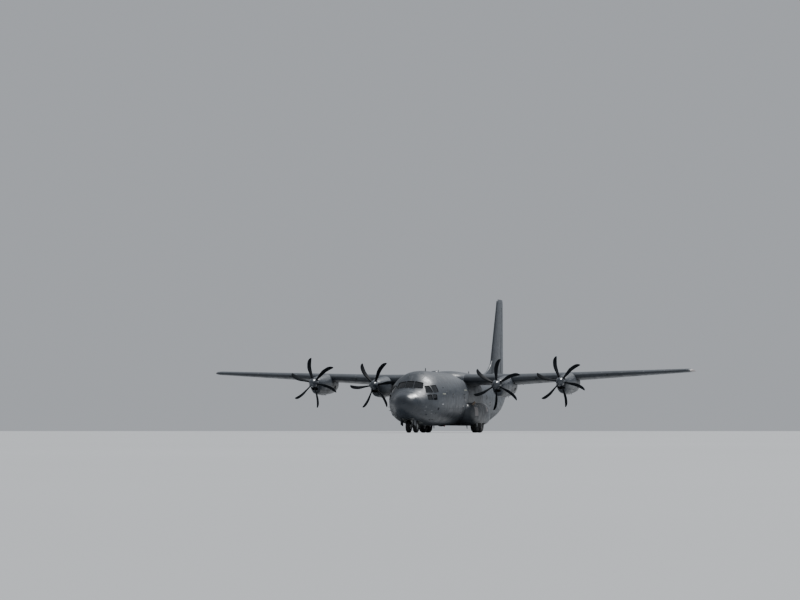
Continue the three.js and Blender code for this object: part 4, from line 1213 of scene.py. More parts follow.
def exhaust_rod(start, end, radius):
    return rod(exhaust_front + exhaust_axis * start, exhaust_front + exhaust_axis * end, radius,
               segments=48)


places = [NACELLE_FRONT, 0.32, 0.335, 0.355, 0.382] + [0.45 + 0.12 * i for i in range(46)]
places += [5.93, 5.96, 5.985, NACELLE_BACK]
nacelle_shape = cut(loft([nacelle_rib(place) for place in places]), duct(0.0, 0.2, 1.0),
                    exhaust_rod(0, 1.2, 0.22))
print("nacelle faces", len(nacelle_shape.faces))

# %% [markdown]
# The wing passes through the back of each nacelle, so the wing's shape is cut out of it.
# The intake has a near-black liner with a splitter, whose closed back stands for the duct
# that runs on into the engine: the liner's black is painted shade. The pipe is burnt metal
# round a dark cone.

# %% Nacelles
wing_room = loft([wing_rib(straight_row(WING, x), WING_CAMBER, GAP)
                  for x in (0, CENTRE_WING_HALF, 12.4, 19.75)])
# The liner's near black is painted shade: its cup closes the duct where the real one runs on into
# the engine.
liner_shape = cut(duct(-0.001, 0.4, 0.999), duct(-0.01, 0.3, 0.97))
liner_shape = heap(liner_shape, slab((-0.008, 0.008), (0.42, 0.97), (-0.57, -0.41)))
pipe_shape = cut(exhaust_rod(0.01, 0.72, 0.215), exhaust_rod(0.03, 0.9, 0.19))
cone_shape = exhaust_rod(0.02, 0.4, 0.13)
flap_shape = block("x", [(2.3, -0.93), (2.95, -0.985), (2.95, -0.97), (2.3, -0.91)], -0.2, 0.2)
mast_shape = rod((0.12, 3.7, -0.85), (0.12, 3.78, -1.0), 0.018, 0.014, 12)


def moved(shape, place):
    bmesh.ops.translate(shape, verts=shape.verts, vec=Vector(place))
    return shape


for name, x, z, station, _, _ in ENGINES:
    place, node = (x, station, z), f"nacelle_{name}_*"
    whole = cut(moved(nacelle_shape.copy(), place), wing_room)
    extras = moved(heap(flap_shape, mast_shape), place)
    finish_pair(heap(whole, extras), node + "_skin", "root", nacelle_paint, node)
    for part, shape, material in (("intake_liner", liner_shape, shade_and_soot_black),
                                  ("exhaust_pipe", pipe_shape, burnt_finish),
                                  ("exhaust_cone", cone_shape, shade_and_soot_black)):
        finish_pair(moved(shape.copy(), place), f"{node}_{part}", "root", material)

# %% [markdown]
# Each propeller has six thin scimitar blades. A blade is a loft of small aerofoils, each
# turned to its pitch, and its outer leading edge carries a dark guard strip. The blades
# leave the spinner through round collars.

# %% Propellers
# Columns: radius, chord, thickness, pitch in degrees, sweep of the middle
BLADE = [
    [0.3, 0.2, 0.14, 66, 0.0],
    [0.6, 0.27, 0.09, 60, -0.06],
    [1.2, 0.37, 0.055, 48, -0.12],
    [1.7, 0.36, 0.03, 42, -0.02],
    [1.95, 0.27, 0.02, 39, 0.1],
    [2.055, 0.12, 0.012, 38, 0.19],
]
BLADES = 6
SPINNER = {"radius": 0.37, "front": -0.66, "shoulder": 0.05, "back": 0.3}


def blade_rib(radius, fractions, proud=0.0):
    """Points round an aerofoil: over the top from the given fractions of the chord, and back."""
    _, chord, thickness, pitch, sweep = fair_row(BLADE, radius)
    turn = math.radians(pitch)
    rib = []
    for u, side in [(u, 1) for u in reversed(fractions)] + [(u, -1) for u in fractions[1:]]:
        along = (u - 0.5) * (chord + 2 * proud) + sweep
        thick = side * (half_thickness(u, 1.0) * thickness + proud)
        rib.append((along * math.cos(turn) - thick * math.sin(turn),
                    along * math.sin(turn) + thick * math.cos(turn), radius))
    return rib


def spun(shape, degrees):
    matrix = Matrix.Rotation(math.radians(degrees), 4, "Y")
    bmesh.ops.transform(shape, matrix=matrix, verts=shape.verts)
    return shape


whole_chord = [0, 0.006, 0.025, 0.06, 0.12, 0.2, 0.3, 0.42, 0.56, 0.7, 0.84, 0.94, 1.0]
edge_chord = [0, 0.006, 0.02, 0.04, 0.07]
blade_radii = [0.3, 0.4, 0.5] + [0.6 + 0.1 * i for i in range(13)]
blade_radii += [1.86, 1.91, 1.95, 1.985, 2.015, 2.04, 2.055]
blade_shape = loft([blade_rib(radius, whole_chord) for radius in blade_radii])
strip_shape = loft([blade_rib(radius, edge_chord, 0.0015)
                    for radius in blade_radii if 1.15 < radius < 2.04])
collar_shape = cut(rod((0, 0, 0.3), (0, 0, 0.392), 0.125), rod((0, 0, 0.2), (0, 0, 0.5), 0.1))
blade_set, strip_set, collar_set = [
    heap(*[spun(shape.copy(), 360 / BLADES * i) for i in range(BLADES)])
    for shape in (blade_shape, strip_shape, collar_shape)]
round_out, shoulder, back = SPINNER["radius"], SPINNER["shoulder"], SPINNER["back"]
outline = [(round_out * math.sin(t), shoulder - (shoulder - SPINNER["front"]) * math.cos(t))
           for t in spread(0, math.pi / 2, 28)]
outline += [(round_out, 0.1), (round_out - 0.006, 0.105), (round_out - 0.006, 0.115),
            (round_out, 0.12), (round_out, back - 0.01), (round_out - 0.008, back), (0, back)]
spinner_shape = turned(outline, "y", (0, 0, 0), 96)
for name, x, z, station, port_turn, starboard_turn in ENGINES:
    for side, sign, phase in (("port", 1, port_turn), ("starboard", -1, starboard_turn)):
        node = f"propeller_{name}_{side}"
        place = (sign * x, station, z)
        for part, shape, slot, material in (
                ("blades", blade_set, "blade_black", blade_finish),
                ("edges", strip_set, "gear_steel", boot_finish),
                ("collars", collar_set, "panel_black", boot_finish),
                ("spinner", spinner_shape, "grey_paint", spinner_finish)):
            finish(moved(spun(shape.copy(), phase), place), f"{node}_{part}", node, material,
                   [node] if part == "blades" else [])

# %% [markdown]
# Tyres are turned from a rounded section with grooves round the tread. Each hub is a dished
# wheel with rims, a ring of bolts and a cap.

# %% Tyres and hubs
MAIN_WHEEL = {"radius": 0.71, "width": 0.51, "rim": 0.27, "axle": 0.07, "x": 2.19,
              "stations": (14.6, 16.12)}
NOSE_WHEEL = {"radius": 0.495, "width": 0.33, "rim": 0.21, "axle": 0.05, "x": 0.29,
              "station": 3.05}


def tyre_shape(wheel, grooves, groove=0.007, depth=0.014):
    radius, half, rim = wheel["radius"], wheel["width"] / 2, wheel["rim"]
    middle, reach = (radius + rim) / 2, (radius - rim) / 2

    def crown(place):
        return middle + reach * (1 - (abs(place) / half) ** 2.7) ** (1 / 2.7)

    side = []
    for degrees in range(52, 143, 6):
        t = math.radians(degrees)
        side.append((middle + reach * signed_power(math.cos(t), 0.74),
                     half * signed_power(math.sin(t), 0.74)))
    side.append((rim, side[-1][1] * 0.96))
    shoulder = side[0][1]
    tread = []
    for place in grooves:
        tread += [(crown(place - groove), place - groove), (crown(place) - depth, place - groove),
                  (crown(place) - depth, place + groove), (crown(place + groove), place + groove)]
    tread += [(crown(shoulder * part), shoulder * part) for part in (-0.85, -0.5, 0.5, 0.85)]
    tread.sort(key=lambda point: round(point[1], 4))
    profile = [(r, -p) for r, p in reversed(side)] + tread + side
    return turned(profile + profile[:1], "x", (0, 0, 0), 96)


def hub_shape(wheel, bolts):
    half, rim, axle = wheel["width"] * 0.36, wheel["rim"] - GAP, wheel["axle"] + GAP
    profile = [(axle, -half), (rim - 0.02, -half), (rim - 0.006, -half - 0.004),
               (rim, -half + 0.01), (rim, half - 0.01), (rim - 0.006, half + 0.004),
               (rim - 0.022, half),
               (rim - 0.035, half * 0.72), (rim * 0.72, half * 0.52), (rim * 0.5, half * 0.5),
               (rim * 0.46, half * 0.72), (rim * 0.36, half * 0.8), (axle, half * 0.8)]
    shape = turned(profile + profile[:1], "x", (0, 0, 0), 72)
    ring = []
    for angle in turns(bolts):
        y, z = rim * 0.64 * math.cos(angle), rim * 0.64 * math.sin(angle)
        ring.append(rod((half * 0.45, y, z), (half * 0.62, y, z), rim * 0.045, segments=6))
    return heap(shape, *ring)


main_tyre = tyre_shape(MAIN_WHEEL, (-0.13, -0.045, 0.045, 0.13))
main_hub = hub_shape(MAIN_WHEEL, 12)
for order, station in zip(("front", "rear"), MAIN_WHEEL["stations"]):
    place, body = (MAIN_WHEEL["x"], station, MAIN_WHEEL["radius"]), f"main_wheel_{order}_*"
    finish_pair(moved(main_tyre.copy(), place), f"main_tyre_tread_{order}_*", body,
                tyre_finish, f"main_tyre_{order}_*")
    finish_pair(moved(main_hub.copy(), place), f"main_hub_disc_{order}_*", body,
                hub_finish, f"main_hub_{order}_*")
nose_tyre = tyre_shape(NOSE_WHEEL, (-0.07, 0.0, 0.07), 0.006, 0.01)
nose_hub = hub_shape({**NOSE_WHEEL, "axle": 0.0}, 8)
place = (NOSE_WHEEL["x"], NOSE_WHEEL["station"], NOSE_WHEEL["radius"])
finish_pair(moved(nose_tyre, place), "nose_tyre_tread_*", "nose_wheels",
            tyre_finish, "nose_tyre_*")


def axle_rod(half, radius):
    """A rod across the aircraft through the middle of the nose wheels."""
    y, z = NOSE_WHEEL["station"], NOSE_WHEEL["radius"]
    return rod((-half, y, z), (half, y, z), radius)


finish(heap(both_sides(moved(nose_hub, place)), axle_rod(0.18, NOSE_WHEEL["axle"])),
       "nose_hub_discs", "nose_wheels", hub_finish, ["nose_hubs"])

# %% [markdown]
# The main wheels hang on two upright struts a side, which slide in the real aircraft: the
# bright rod shows under a painted cylinder. Links behind each strut stop it turning.

# %% Main gear
STRUT_X = 1.78
WELL_TOP = MAIN_WELL["top"] - GAP
hub_z = MAIN_WHEEL["radius"]
painted, bright = [], []
for station in MAIN_WHEEL["stations"]:
    painted += [
        rod((STRUT_X, station, 1.3), (STRUT_X, station, WELL_TOP), 0.11),
        rod((STRUT_X, station, 1.28), (STRUT_X, station, 1.36), 0.125),
        rod((STRUT_X, station, hub_z - 0.13), (STRUT_X, station, hub_z + 0.16), 0.085),
        rod((STRUT_X - 0.1, station, hub_z), (STRUT_X + 0.12, station, hub_z), 0.1),
        slab((STRUT_X - 0.04, STRUT_X + 0.04), (station + 0.06, station + 0.22), (0.86, 0.92)),
        slab((STRUT_X - 0.04, STRUT_X + 0.04), (station + 0.09, station + 0.22), (1.33, 1.39)),
        rod((STRUT_X, station + 0.21, 0.88), (STRUT_X, station + 0.3, 1.12), 0.028, segments=12),
        rod((STRUT_X, station + 0.3, 1.12), (STRUT_X, station + 0.21, 1.37), 0.028, segments=12),
        rod((STRUT_X + 0.1, station, 1.2), (STRUT_X + 0.1, station, 2.1), 0.012, segments=8),
    ]
    bright += [rod((STRUT_X, station, hub_z + 0.1), (STRUT_X, station, 1.32), 0.07),
               rod((STRUT_X + 0.1, station, hub_z), (2.34, station, hub_z), MAIN_WHEEL["axle"])]
painted.append(slab((STRUT_X - 0.06, STRUT_X + 0.06), MAIN_WHEEL["stations"], (1.75, 1.95)))
finish_pair(heap(*painted), "main_gear_legs_*", "root", gear_finish, "main_gear_*")
finish_pair(heap(*bright), "main_gear_rods_*", "root", steel_finish)

# %% [markdown]
# The nose leg is a cylinder with a drag brace. The part that steers carries the axle, a
# link and a taxi lamp. Two thin doors hang beside the front of the well.

# %% Nose gear
NOSE_STATION, COLLAR, NOSE_ROOF = NOSE_WHEEL["station"], 1.12, NOSE_WELL["top"] - GAP


def upright(low, high, radius):
    return rod((0, NOSE_STATION, low), (0, NOSE_STATION, high), radius)


leg = heap(upright(COLLAR, NOSE_ROOF, 0.1),
           rod((0, NOSE_STATION, COLLAR + 0.1), (0, 1.72, NOSE_ROOF - 0.06), 0.045),
           rod((-0.16, NOSE_STATION, 1.55), (0.16, NOSE_STATION, 1.55), 0.05),
           rod((0.12, NOSE_STATION, COLLAR + 0.05), (0.12, NOSE_STATION, 1.6), 0.035))
finish(leg, "nose_leg_cylinder", "root", gear_finish, ["nose_leg"])
axle_room = axle_rod(0.3, NOSE_WHEEL["axle"] + GAP)
fork = heap(upright(COLLAR - 0.1, COLLAR - GAP, 0.1), cut(axle_rod(0.09, 0.1), axle_room),
            cut(upright(NOSE_WHEEL["radius"], 0.7, 0.08), axle_room),
            rod((0, NOSE_STATION + 0.09, 0.66), (0, NOSE_STATION + 0.2, 0.84), 0.022, segments=12),
            rod((0, NOSE_STATION + 0.2, 0.84), (0, NOSE_STATION + 0.08, 1.05), 0.022, segments=12))
finish(fork, "nose_steering_fork", "nose_steering", gear_finish,
       ["nose_steering_leg"])
finish(upright(0.68, 1.04, 0.06), "nose_steering_rod", "nose_steering",
       steel_finish)
finish(rod((0, NOSE_STATION - 0.19, 0.92), (0, NOSE_STATION - 0.1, 0.92), 0.065, 0.05),
       "taxi_lamp", "nose_steering", lamp_finish)
outline = rounded([(1.45, 1.25), (2.23, 1.25), (2.23, 0.5), (1.52, 0.62)], 0.05)
door = cut(block("x", outline, 0.51, 0.54), fuselage_part(1.3, 2.6, -GAP, 0.1))
finish_pair(door, "nose_gear_door_skin_*", "root", fuselage_paint,
            "nose_gear_door_*")


# %% [markdown]
# Inside the tube the hold is lined with pale panels between hoop frames. A hoop is four
# loops, two on the skin and two further in, joined into a ring.

# %% Hold lining and hoops
LINING = 0.142


def hoop(station, width=0.05, depth=0.07):
    near, far = station, station + width
    shape = bmesh.new()
    loop = first = start_loop(shape, fuselage_rib(near, LINING, 48))
    for place, inset in ((far, LINING), (far, LINING + depth), (near, LINING + depth)):
        loop = next_loop(shape, loop, fuselage_rib(place, inset, 48))
    ends = [shape.edges.get((ring[i - 1], ring[i])) for ring in (first, loop) for i in range(48)]
    bmesh.ops.bridge_loops(shape, edges=ends)
    bmesh.ops.recalc_face_normals(shape, faces=shape.faces)
    return shape


lining = cut(skin_layer(4.8, 21.75, LINING, LINING + 0.01, BAY),
             both_sides(main_well(SKIN)), both_sides(paratroop_block(0.04)),
             slab(ACROSS_HULL, (12.9, 18.65), (4.2, 6)))
finish(lining, "hold_lining", "root", liner_finish)
hoop_stations = [5.2 + BAY * i for i in range(14)] + [17.3, 17.9, 18.5, 19.1, 20.72, 21.3]
finish(heap(*[hoop(station) for station in hoop_stations]), "hold_hoops", "root",
       liner_finish)

# %% [markdown]
# The cargo floor carries four sunk lanes of rollers and rows of tie-down rings, all flush
# with its top. The nose has a low entrance floor and, above it, the floor of the flight deck.

# %% Floors
HOLD_HALF = 1.46
DECK = 2.4
LANES = (-1.15, -0.42, 0.42, 1.15)
lane_cuts = heap(*[slab((x - 0.11, x + 0.11), (5.1, 21.5), (FLOOR - 0.035, 2)) for x in LANES])
hold_floor = combine(fuselage_part(4.7, 21.9, SKIN + GAP, 0.6),
                     slab((-HOLD_HALF, HOLD_HALF), (NOSE_JOINT + GAP, TAIL_JOINT),
                          (FLOOR - 0.2, FLOOR)),
                     "INTERSECT")
finish(cut(hold_floor, lane_cuts), "cargo_floor_deck", "root", floor_finish,
       ["cargo_floor"])
rollers = [rod((x - 0.1, s, FLOOR - 0.018), (x + 0.1, s, FLOOR - 0.018), 0.016, segments=10)
           for x in LANES for s in stations(5.2, 21.4, 0.27)]
finish(heap(*rollers), "cargo_rollers", "root", steel_finish)
section = [(0.045 + 0.007 * math.cos(t), 0.007 * math.sin(t)) for t in spread(0, math.tau, 8)]
tie_ring = turned(section, "z", (0, 0, 0), 16)
tie_rings = [moved(tie_ring.copy(), (x, s, FLOOR - 0.004)) for x in (-1.36, -0.78, 0, 0.78, 1.36)
             for s in stations(5.4, 21.2, 0.8)]
finish(heap(*tie_rings), "tie_down_rings", "root", steel_finish)
entrance = combine(fuselage_part(2.8, 4.8, SKIN + GAP, 0.15),
                   slab(ACROSS_HULL, (2.9, NOSE_JOINT - GAP), (FLOOR - 0.12, FLOOR)),
                   "INTERSECT")
finish(cut(entrance, nose_well(0.05 + GAP)), "entrance_floor", "root",
       floor_finish)
deck = combine(fuselage_part(1.6, 4.8, SKIN + GAP, 0.15),
               slab(ACROSS_HULL, (1.7, 4.7), (DECK - 0.08, DECK)), "INTERSECT")
finish(deck, "flight_deck_plate", "root", floor_finish, ["flight_deck_floor"])

# %% [markdown]
# The instrument panel leans back under a hood. Its screens are blank dark glass. Between the
# seats stands a pedestal with the engine levers.

# %% Instrument panel and controls
ON_DECK = DECK + 0.001
PANEL_FOOT, PANEL_TOP = Vector((2.25, DECK)), Vector((2.4, 3.05))
# Columns: middle, half width, foot up the panel
SCREENS = [(x, 0.15, 0.26) for x in (-0.85, -0.5, 0.5, 0.85)]
SCREENS += [(x, 0.13, 0.24) for x in (-0.15, 0.15)]
LEVERS = (-0.09, -0.03, 0.03, 0.09)
panel_up = (PANEL_TOP - PANEL_FOOT).normalized()
panel_out = Vector((panel_up.y, -panel_up.x))


def eased(shape, offset, segments=3):
    """All edges rounded over."""
    bmesh.ops.bevel(shape, geom=shape.edges[:], offset=offset, segments=segments, profile=0.5,
                    affect="EDGES", material=-1)
    return shape


def panel_plate(xs, low, high, proud):
    corners = [PANEL_FOOT + panel_up * low, PANEL_FOOT + panel_up * high]
    corners += [corner + panel_out * proud for corner in reversed(corners)]
    return block("x", [tuple(corner) for corner in corners], *xs)


panel_side = rounded([(1.72, ON_DECK), (2.25, ON_DECK), tuple(PANEL_TOP), (2.32, 3.29),
                      (1.72, 3.29)], 0.03)
panel_room = fuselage_part(1.5, 2.6, 0.171, 0.1)
panel = combine(block("x", panel_side, -1.15, 1.15), panel_room, "INTERSECT")
finish(panel, "instrument_panel_body", "root", panel_finish, ["instrument_panel"])
bezels = [panel_plate((x - half, x + half), foot, 0.6, 0.006) for x, half, foot in SCREENS]
finish(heap(*bezels), "screen_frames", "root", aerial_finish)
screens = [panel_plate((x - half + 0.03, x + half - 0.03), foot + 0.04, 0.56, 0.009)
           for x, half, foot in SCREENS]
finish(heap(*screens), "blank_screens", "root", porthole_finish)
pedestal = eased(slab((-0.2, 0.2), (2.45, 3.25), (ON_DECK, 2.78)), 0.025)
levers = [rod((x, 2.72, 2.77), (x, 2.66, 2.95), 0.008, segments=8) for x in LEVERS]
knobs = [rod((x, 2.665, 2.94), (x, 2.655, 2.97), 0.018, segments=12) for x in LEVERS]
finish(heap(pedestal, *levers, *knobs), "control_pedestal", "root", panel_finish)
yoke = heap(rod((0.65, 2.62, ON_DECK), (0.65, 2.6, 2.95), 0.028, segments=16),
            rod((0.65, 2.55, 2.95), (0.65, 2.72, 2.97), 0.03, segments=16),
            rod((0.5, 2.72, 2.93), (0.8, 2.72, 2.93), 0.016, segments=12),
            rod((0.5, 2.72, 2.93), (0.47, 2.72, 3.08), 0.018, segments=12),
            rod((0.8, 2.72, 2.93), (0.83, 2.72, 3.08), 0.018, segments=12))
finish(both_sides(yoke), "control_columns", "root", panel_finish)

# %% [markdown]
# A pilot seat has a stuffed cushion, back and headrest. Each is a rounded box whose middle
# is crowned and whose sides pull in between the corners, with sewn channels across it.
# A cube with a fine grid is shaped point by point, which keeps the form closed.

# %% Padded forms
def padding(centre, size, axis, crown=0.22, channels=0, lean=0.0):
    """A stuffed form: size is its x, y, z, and axis the direction of its thickness."""
    shape = bmesh.new()
    bmesh.ops.create_cube(shape, size=2.0)
    bmesh.ops.subdivide_edges(shape, edges=shape.edges[:], cuts=15, use_grid_fill=True)
    thick = "xyz".index(axis)
    wide, long = [i for i in range(3) if i != thick]
    for vert in shape.verts:
        place = vert.co.copy()
        rounding = sum(abs(part) ** 6 for part in place) ** (1 / 6)
        middle = (1 - place[wide] ** 2) * (1 - place[long] ** 2)
        seam = abs(math.cos(math.pi * channels * (place[long] + 1) / 2)) ** 14 if channels else 0
        vert.co = place / rounding
        vert.co[thick] *= 1 + crown * middle - 0.16 * seam * math.sqrt(max(0.0, middle))
        vert.co[wide] *= 1 - 0.05 * (1 - place[long] ** 2)
        vert.co[long] *= 1 - 0.04 * (1 - place[wide] ** 2)
    scale = Matrix.Diagonal((size[0] / 2, size[1] / 2, size[2] / 2, 1))
    turn = Matrix.Rotation(math.radians(lean), 4, "X")
    bmesh.ops.transform(shape, matrix=Matrix.Translation(centre) @ turn @ scale, verts=shape.verts)
    return shape


# %% [markdown]
# The seats stand on rails, with armrests and flat dark straps. Their cloth is woven: two
# sets of fine bands cross, and noise fades it where it is rubbed.

# %% Pilot seats
def woven_finish(name, base, thread=0.0016):
    material, tree, shader = start_material(name)
    coords = object_axes(tree)[0]
    bands = []
    for direction in ("X", "DIAGONAL"):
        wave = tree.nodes.new("ShaderNodeTexWave")
        wave.bands_direction = direction
        wave.inputs["Scale"].default_value = math.pi / (10 * thread)
        tree.links.new(coords, wave.inputs["Vector"])
        bands.append(wave.outputs["Fac"])
    weave = times(tree, *bands)
    rubbed = remap(tree, noise(tree, coords, 9.0, 5.0), 0.35, 0.7, 0.75, 1.35)
    tone = times(tree, rubbed, remap(tree, weave, 0.0, 1.0, 0.8, 1.15))
    tree.links.new(toned(tree, (*base, 1.0), tone), shader.inputs["Base Color"])
    shader.inputs["Roughness"].default_value = 0.9
    shader.inputs["Sheen Weight"].default_value = 0.35
    bump(tree, shader, weave, 0.0004, 0.8)
    return material


seat_finish = woven_finish("seat_finish", (0.075, 0.085, 0.075))
strap_finish = woven_finish("strap_finish", (0.030, 0.033, 0.036))
SEAT_X = 0.65
seat_base = heap(slab((0.5, 0.8), (3.0, 3.35), (DECK + GAP, 2.69)),
                 *[slab((x, x + 0.06), (2.85, 3.5), (ON_DECK, 2.44)) for x in (0.46, 0.78)])
pads = heap(padding((SEAT_X, 3.15, 2.75), (0.53, 0.54, 0.12), "z", channels=2),
            padding((SEAT_X, 3.43, 3.1), (0.53, 0.1, 0.66), "y", channels=3, lean=-3),
            padding((SEAT_X, 3.435, 3.51), (0.27, 0.09, 0.17), "y"))
for side, turn in SIDES.items():
    stuffed = finish(turn(pads), f"seat_padding_{side}", "root", seat_finish,
                     [f"pilot_seat_{side}"], crease=80)
arms = heap(*[eased(slab((x - 0.03, x + 0.03), (3.02, 3.4), (2.98, 3.03)), 0.012)
              for x in (0.37, 0.93)])
stalks = heap(*[rod((x, 3.445, 3.36), (x, 3.445, 3.47), 0.012, segments=10) for x in (0.58, 0.72)],
              slab((0.42, 0.88), (3.47, 3.49), (2.7, 3.38)))
finish(both_sides(heap(seat_base, arms, stalks)), "seat_frames", "root",
       panel_finish)
outline = [(3.35, 2.84), (3.358, 3.41), (3.35, 3.41), (3.342, 2.84)]
straps = heap(*[block("x", outline, x, x + 0.045) for x in (0.52, 0.735)],
              slab((0.4, 0.9), (3.2, 3.245), (2.826, 2.832)))
finish(both_sides(straps), "seat_straps", "root", strap_finish)

# %% [markdown]
# The wheel wells are lined in pale paint. A liner is a thin box without a bottom, trimmed
# where the outer skin ends, with a few stiffeners across its roof.

# %% Well liners
def thin_box(room, hull, clear=0.004, sheet=0.008):
    return cut(combine(room(-clear), hull, "INTERSECT"), room(-clear - sheet))


def main_room(by):
    side = well_slab(MAIN_WELL["inner"], SPONSON_WELL["outer"] + by, -1, SPONSON_WELL["top"], by)
    pocket = well_slab(MAIN_WELL["inner"], 1.96, 1.8, MAIN_WELL["top"], by)
    foot = well_slab(SPONSON_WELL["inner"], 1.8, -1, 0.94, by)
    return combine(combine(side, pocket, "UNION"), foot, "UNION")


sponson_core = loft([sponson_rib(s, inset=0.03) for s in stations(13.6, 17.1, 0.5)])
hull = combine(sponson_core, fuselage_part(13.6, 17.1, 0.03, 0.5), "UNION")
bars = stations(14.0, 16.7, 0.45)
main_liner = heap(thin_box(main_room, hull),
                  *[slab((1.97, 2.48), (s, s + 0.04), (1.88, 1.94)) for s in bars],
                  *[slab((2.44, 2.488), (s, s + 0.04), (1.1, 1.94)) for s in bars])
finish(both_sides(main_liner), "main_well_liners", "root", liner_finish)
bars = [slab((-0.7, 0.7), (s, s + 0.035), (1.69, 1.742)) for s in (2.45, 2.75, 3.4, 3.65)]
nose_liner = heap(thin_box(nose_well, fuselage_part(1.3, 4.2, 0.03, 0.15)), *bars)
pipes = [rod((x, 2.3, z), (x, 3.8, z), 0.014, segments=8)
         for x, z in ((0.72, 1.5), (0.72, 1.42), (-0.72, 1.5))]
finish(heap(nose_liner, *pipes), "nose_well_liner", "root", liner_finish)
well_pipes = [rod((2.44, 13.8, z), (2.44, 16.9, z), 0.013, segments=8) for z in (1.62, 1.69, 1.76)]
finish(both_sides(heap(*well_pipes)), "main_well_pipes", "root", steel_finish)

# %% [markdown]
# Hinge hardware: a rod with leaves for the crew door, and the two cross rods of the ramp and
# the cargo door. The crew door's inner side has four treads between two stringers.

# %% Hinges and stairs
crew_rod = heap(rod((0, -0.34, 1.0214), (0, 0.34, 1.0214), 0.018),
                slab((-0.12, 0), (-0.34, 0.34), (0.985, 1.0124)))
finish(at_crew_door(crew_rod), "crew_door_hinge_rod", "root", aerial_finish)
leaves = heap(*[slab((-0.1, 0.018), (y - 0.05, y + 0.05), (1.04, 1.1)) for y in (-0.25, 0.25)])
finish(at_crew_door(leaves), "crew_door_hinge_leaves", "crew_door", gear_finish)
treads = heap(*[eased(slab((-0.32, -0.09), (-0.27, 0.27), (z, z + 0.03)), 0.006, 2)
                for z in (1.22, 1.44, 1.66, 1.88)],
              *[slab((-0.3, -0.09), (y - 0.012, y + 0.012), (1.14, 1.98)) for y in (-0.28, 0.28)])
finish(at_crew_door(treads), "crew_door_treads", "crew_door", floor_finish)
finish(heap(rod((-0.4, *RAMP_HINGE), (0.4, *RAMP_HINGE), HINGE_ROD),
            rod((-0.5, *DOOR_HINGE), (0.5, *DOOR_HINGE), HINGE_ROD)), "ramp_and_door_rods", "root",
       gear_finish)
ramp_front = Vector((RAMP_HINGE[0] + HINGE_ROD + GAP, FLOOR))
slope = (Vector(RAMP_EDGE) - ramp_front).normalized()
over = Vector((-slope.y, slope.x)) * 0.008
treads = []
for i in range(19):
    foot = ramp_front + slope * (0.15 + 0.15 * i)
    corners = [foot, foot + slope * 0.04, foot + slope * 0.04 + over, foot + over]
    treads.append(block("x", [tuple(corner) for corner in corners], -1.3, 1.3))
finish(heap(*treads), "ramp_treads", "cargo_ramp", floor_finish)

# %% [markdown]
# Small things that sit on the skin need its surface. One helper gives the skin's half width
# at a station and height, one finds the station where a point lies on the nose, and a patch
# is a thin layer of skin crossed with a block.

# %% Places on the skin
PATCH_DEPTH = 0.02


def skin_x(station, height, inset=0.0):
    _, top, bottom, widest, half, power = fair_row(FUSELAGE, station)
    upper = height >= widest
    share = (height - widest) / (top - widest) if upper else (widest - height) / (widest - bottom)
    power = 2.0 if upper else power
    return (half - inset) * (1 - min(1.0, share) ** power) ** (1 / power)


def skin_station(x, height):
    near, far = 0.3, 4.7
    for _ in range(30):
        middle = (near + far) / 2
        _, top, bottom, _, _, _ = fair_row(FUSELAGE, middle)
        within = bottom < height < top and skin_x(middle, height) > abs(x)
        near, far = (near, middle) if within else (middle, far)
    return near


def skin_patch(cutter, near, far, proud=0.004):
    return combine(skin_layer(near, far, -proud, PATCH_DEPTH, 0.15), cutter, "INTERSECT")


def side_patch(outline, proud=0.004):
    places = [station for station, _ in outline]
    return skin_patch(block("x", outline, 0.3, 3.0), min(places) - 0.1, max(places) + 0.1, proud)


def plate(front, back, low, high, radius=0.05):
    return rounded([(front, low), (back, low), (back, high), (front, high)], radius)


def disc(station, height, radius, points=32):
    return [(station + radius * math.cos(t), height + radius * math.sin(t)) for t in turns(points)]


def ball(centre, radii):
    shape = bmesh.new()
    bmesh.ops.create_uvsphere(shape, u_segments=24, v_segments=12, radius=1.0,
                              matrix=Matrix.Translation(centre) @ Matrix.Diagonal((*radii, 1)))
    return shape


print("skin half width at the crew door", round(skin_x(3.63, 1.6), 2), "m")

# %% [markdown]
# The hold has a few round windows, each a dark pane in a ring, and the doors have small ones.
# No window is cut through the skin: each pane is an opaque patch, and its near black is
# painted shade of the cabin behind.
# A pane on a door rides that door.

# %% Round windows and door windows
def framed_pane(inner, outer, proud):
    frame_shape = cut(side_patch(outer, proud), block("x", inner, 0.2, 3.1))
    return frame_shape, side_patch(inner, 0.002)


def ringed_pane(station, height, radius):
    return framed_pane(disc(station, height, radius), disc(station, height, radius + 0.035), 0.008)


rings, lights = [], []
for station, height in ((7.6, 2.95), (11.2, 2.95), (18.9, 2.95)):
    ring, pane = ringed_pane(station, height, 0.16)
    rings.append(ring)
    lights.append(pane)
finish(both_sides(heap(*rings)), "porthole_rings", "root", boot_finish)
finish(both_sides(heap(*lights)), "porthole_shade_panes", "root", porthole_finish)
ring, pane = framed_pane(plate(19.96, 20.25, 2.28, 2.56, 0.06),
                         plate(19.93, 20.28, 2.25, 2.59, 0.07), 0.007)
grip = side_patch(plate(19.74, 19.8, 1.86, 2.06, 0.02), 0.012)
finish(both_sides(heap(ring, grip)), "paratroop_door_trim", "root", boot_finish)
finish(both_sides(pane), "paratroop_door_panes", "root", porthole_finish)
ring, pane = ringed_pane(3.66, 1.86, 0.09)
grip = side_patch(plate(3.38, 3.5, 1.5, 1.56, 0.02), 0.012)
finish(heap(ring, grip), "crew_door_trim", "crew_door", boot_finish)
finish(pane, "crew_door_shade_pane", "crew_door", porthole_finish)

# %% [markdown]
# Hatches, access doors and doublers stand a few millimetres proud of the skin. The strips
# that glow at night in formation are a pale yellow-grey.

# %% Hatches and strips
def middle_patch(half, near, far, radius, heights):
    cutter = block("z", plate(-half, half, near, far, radius), *heights)
    return skin_patch(cutter, near - 0.2, far + 0.2)


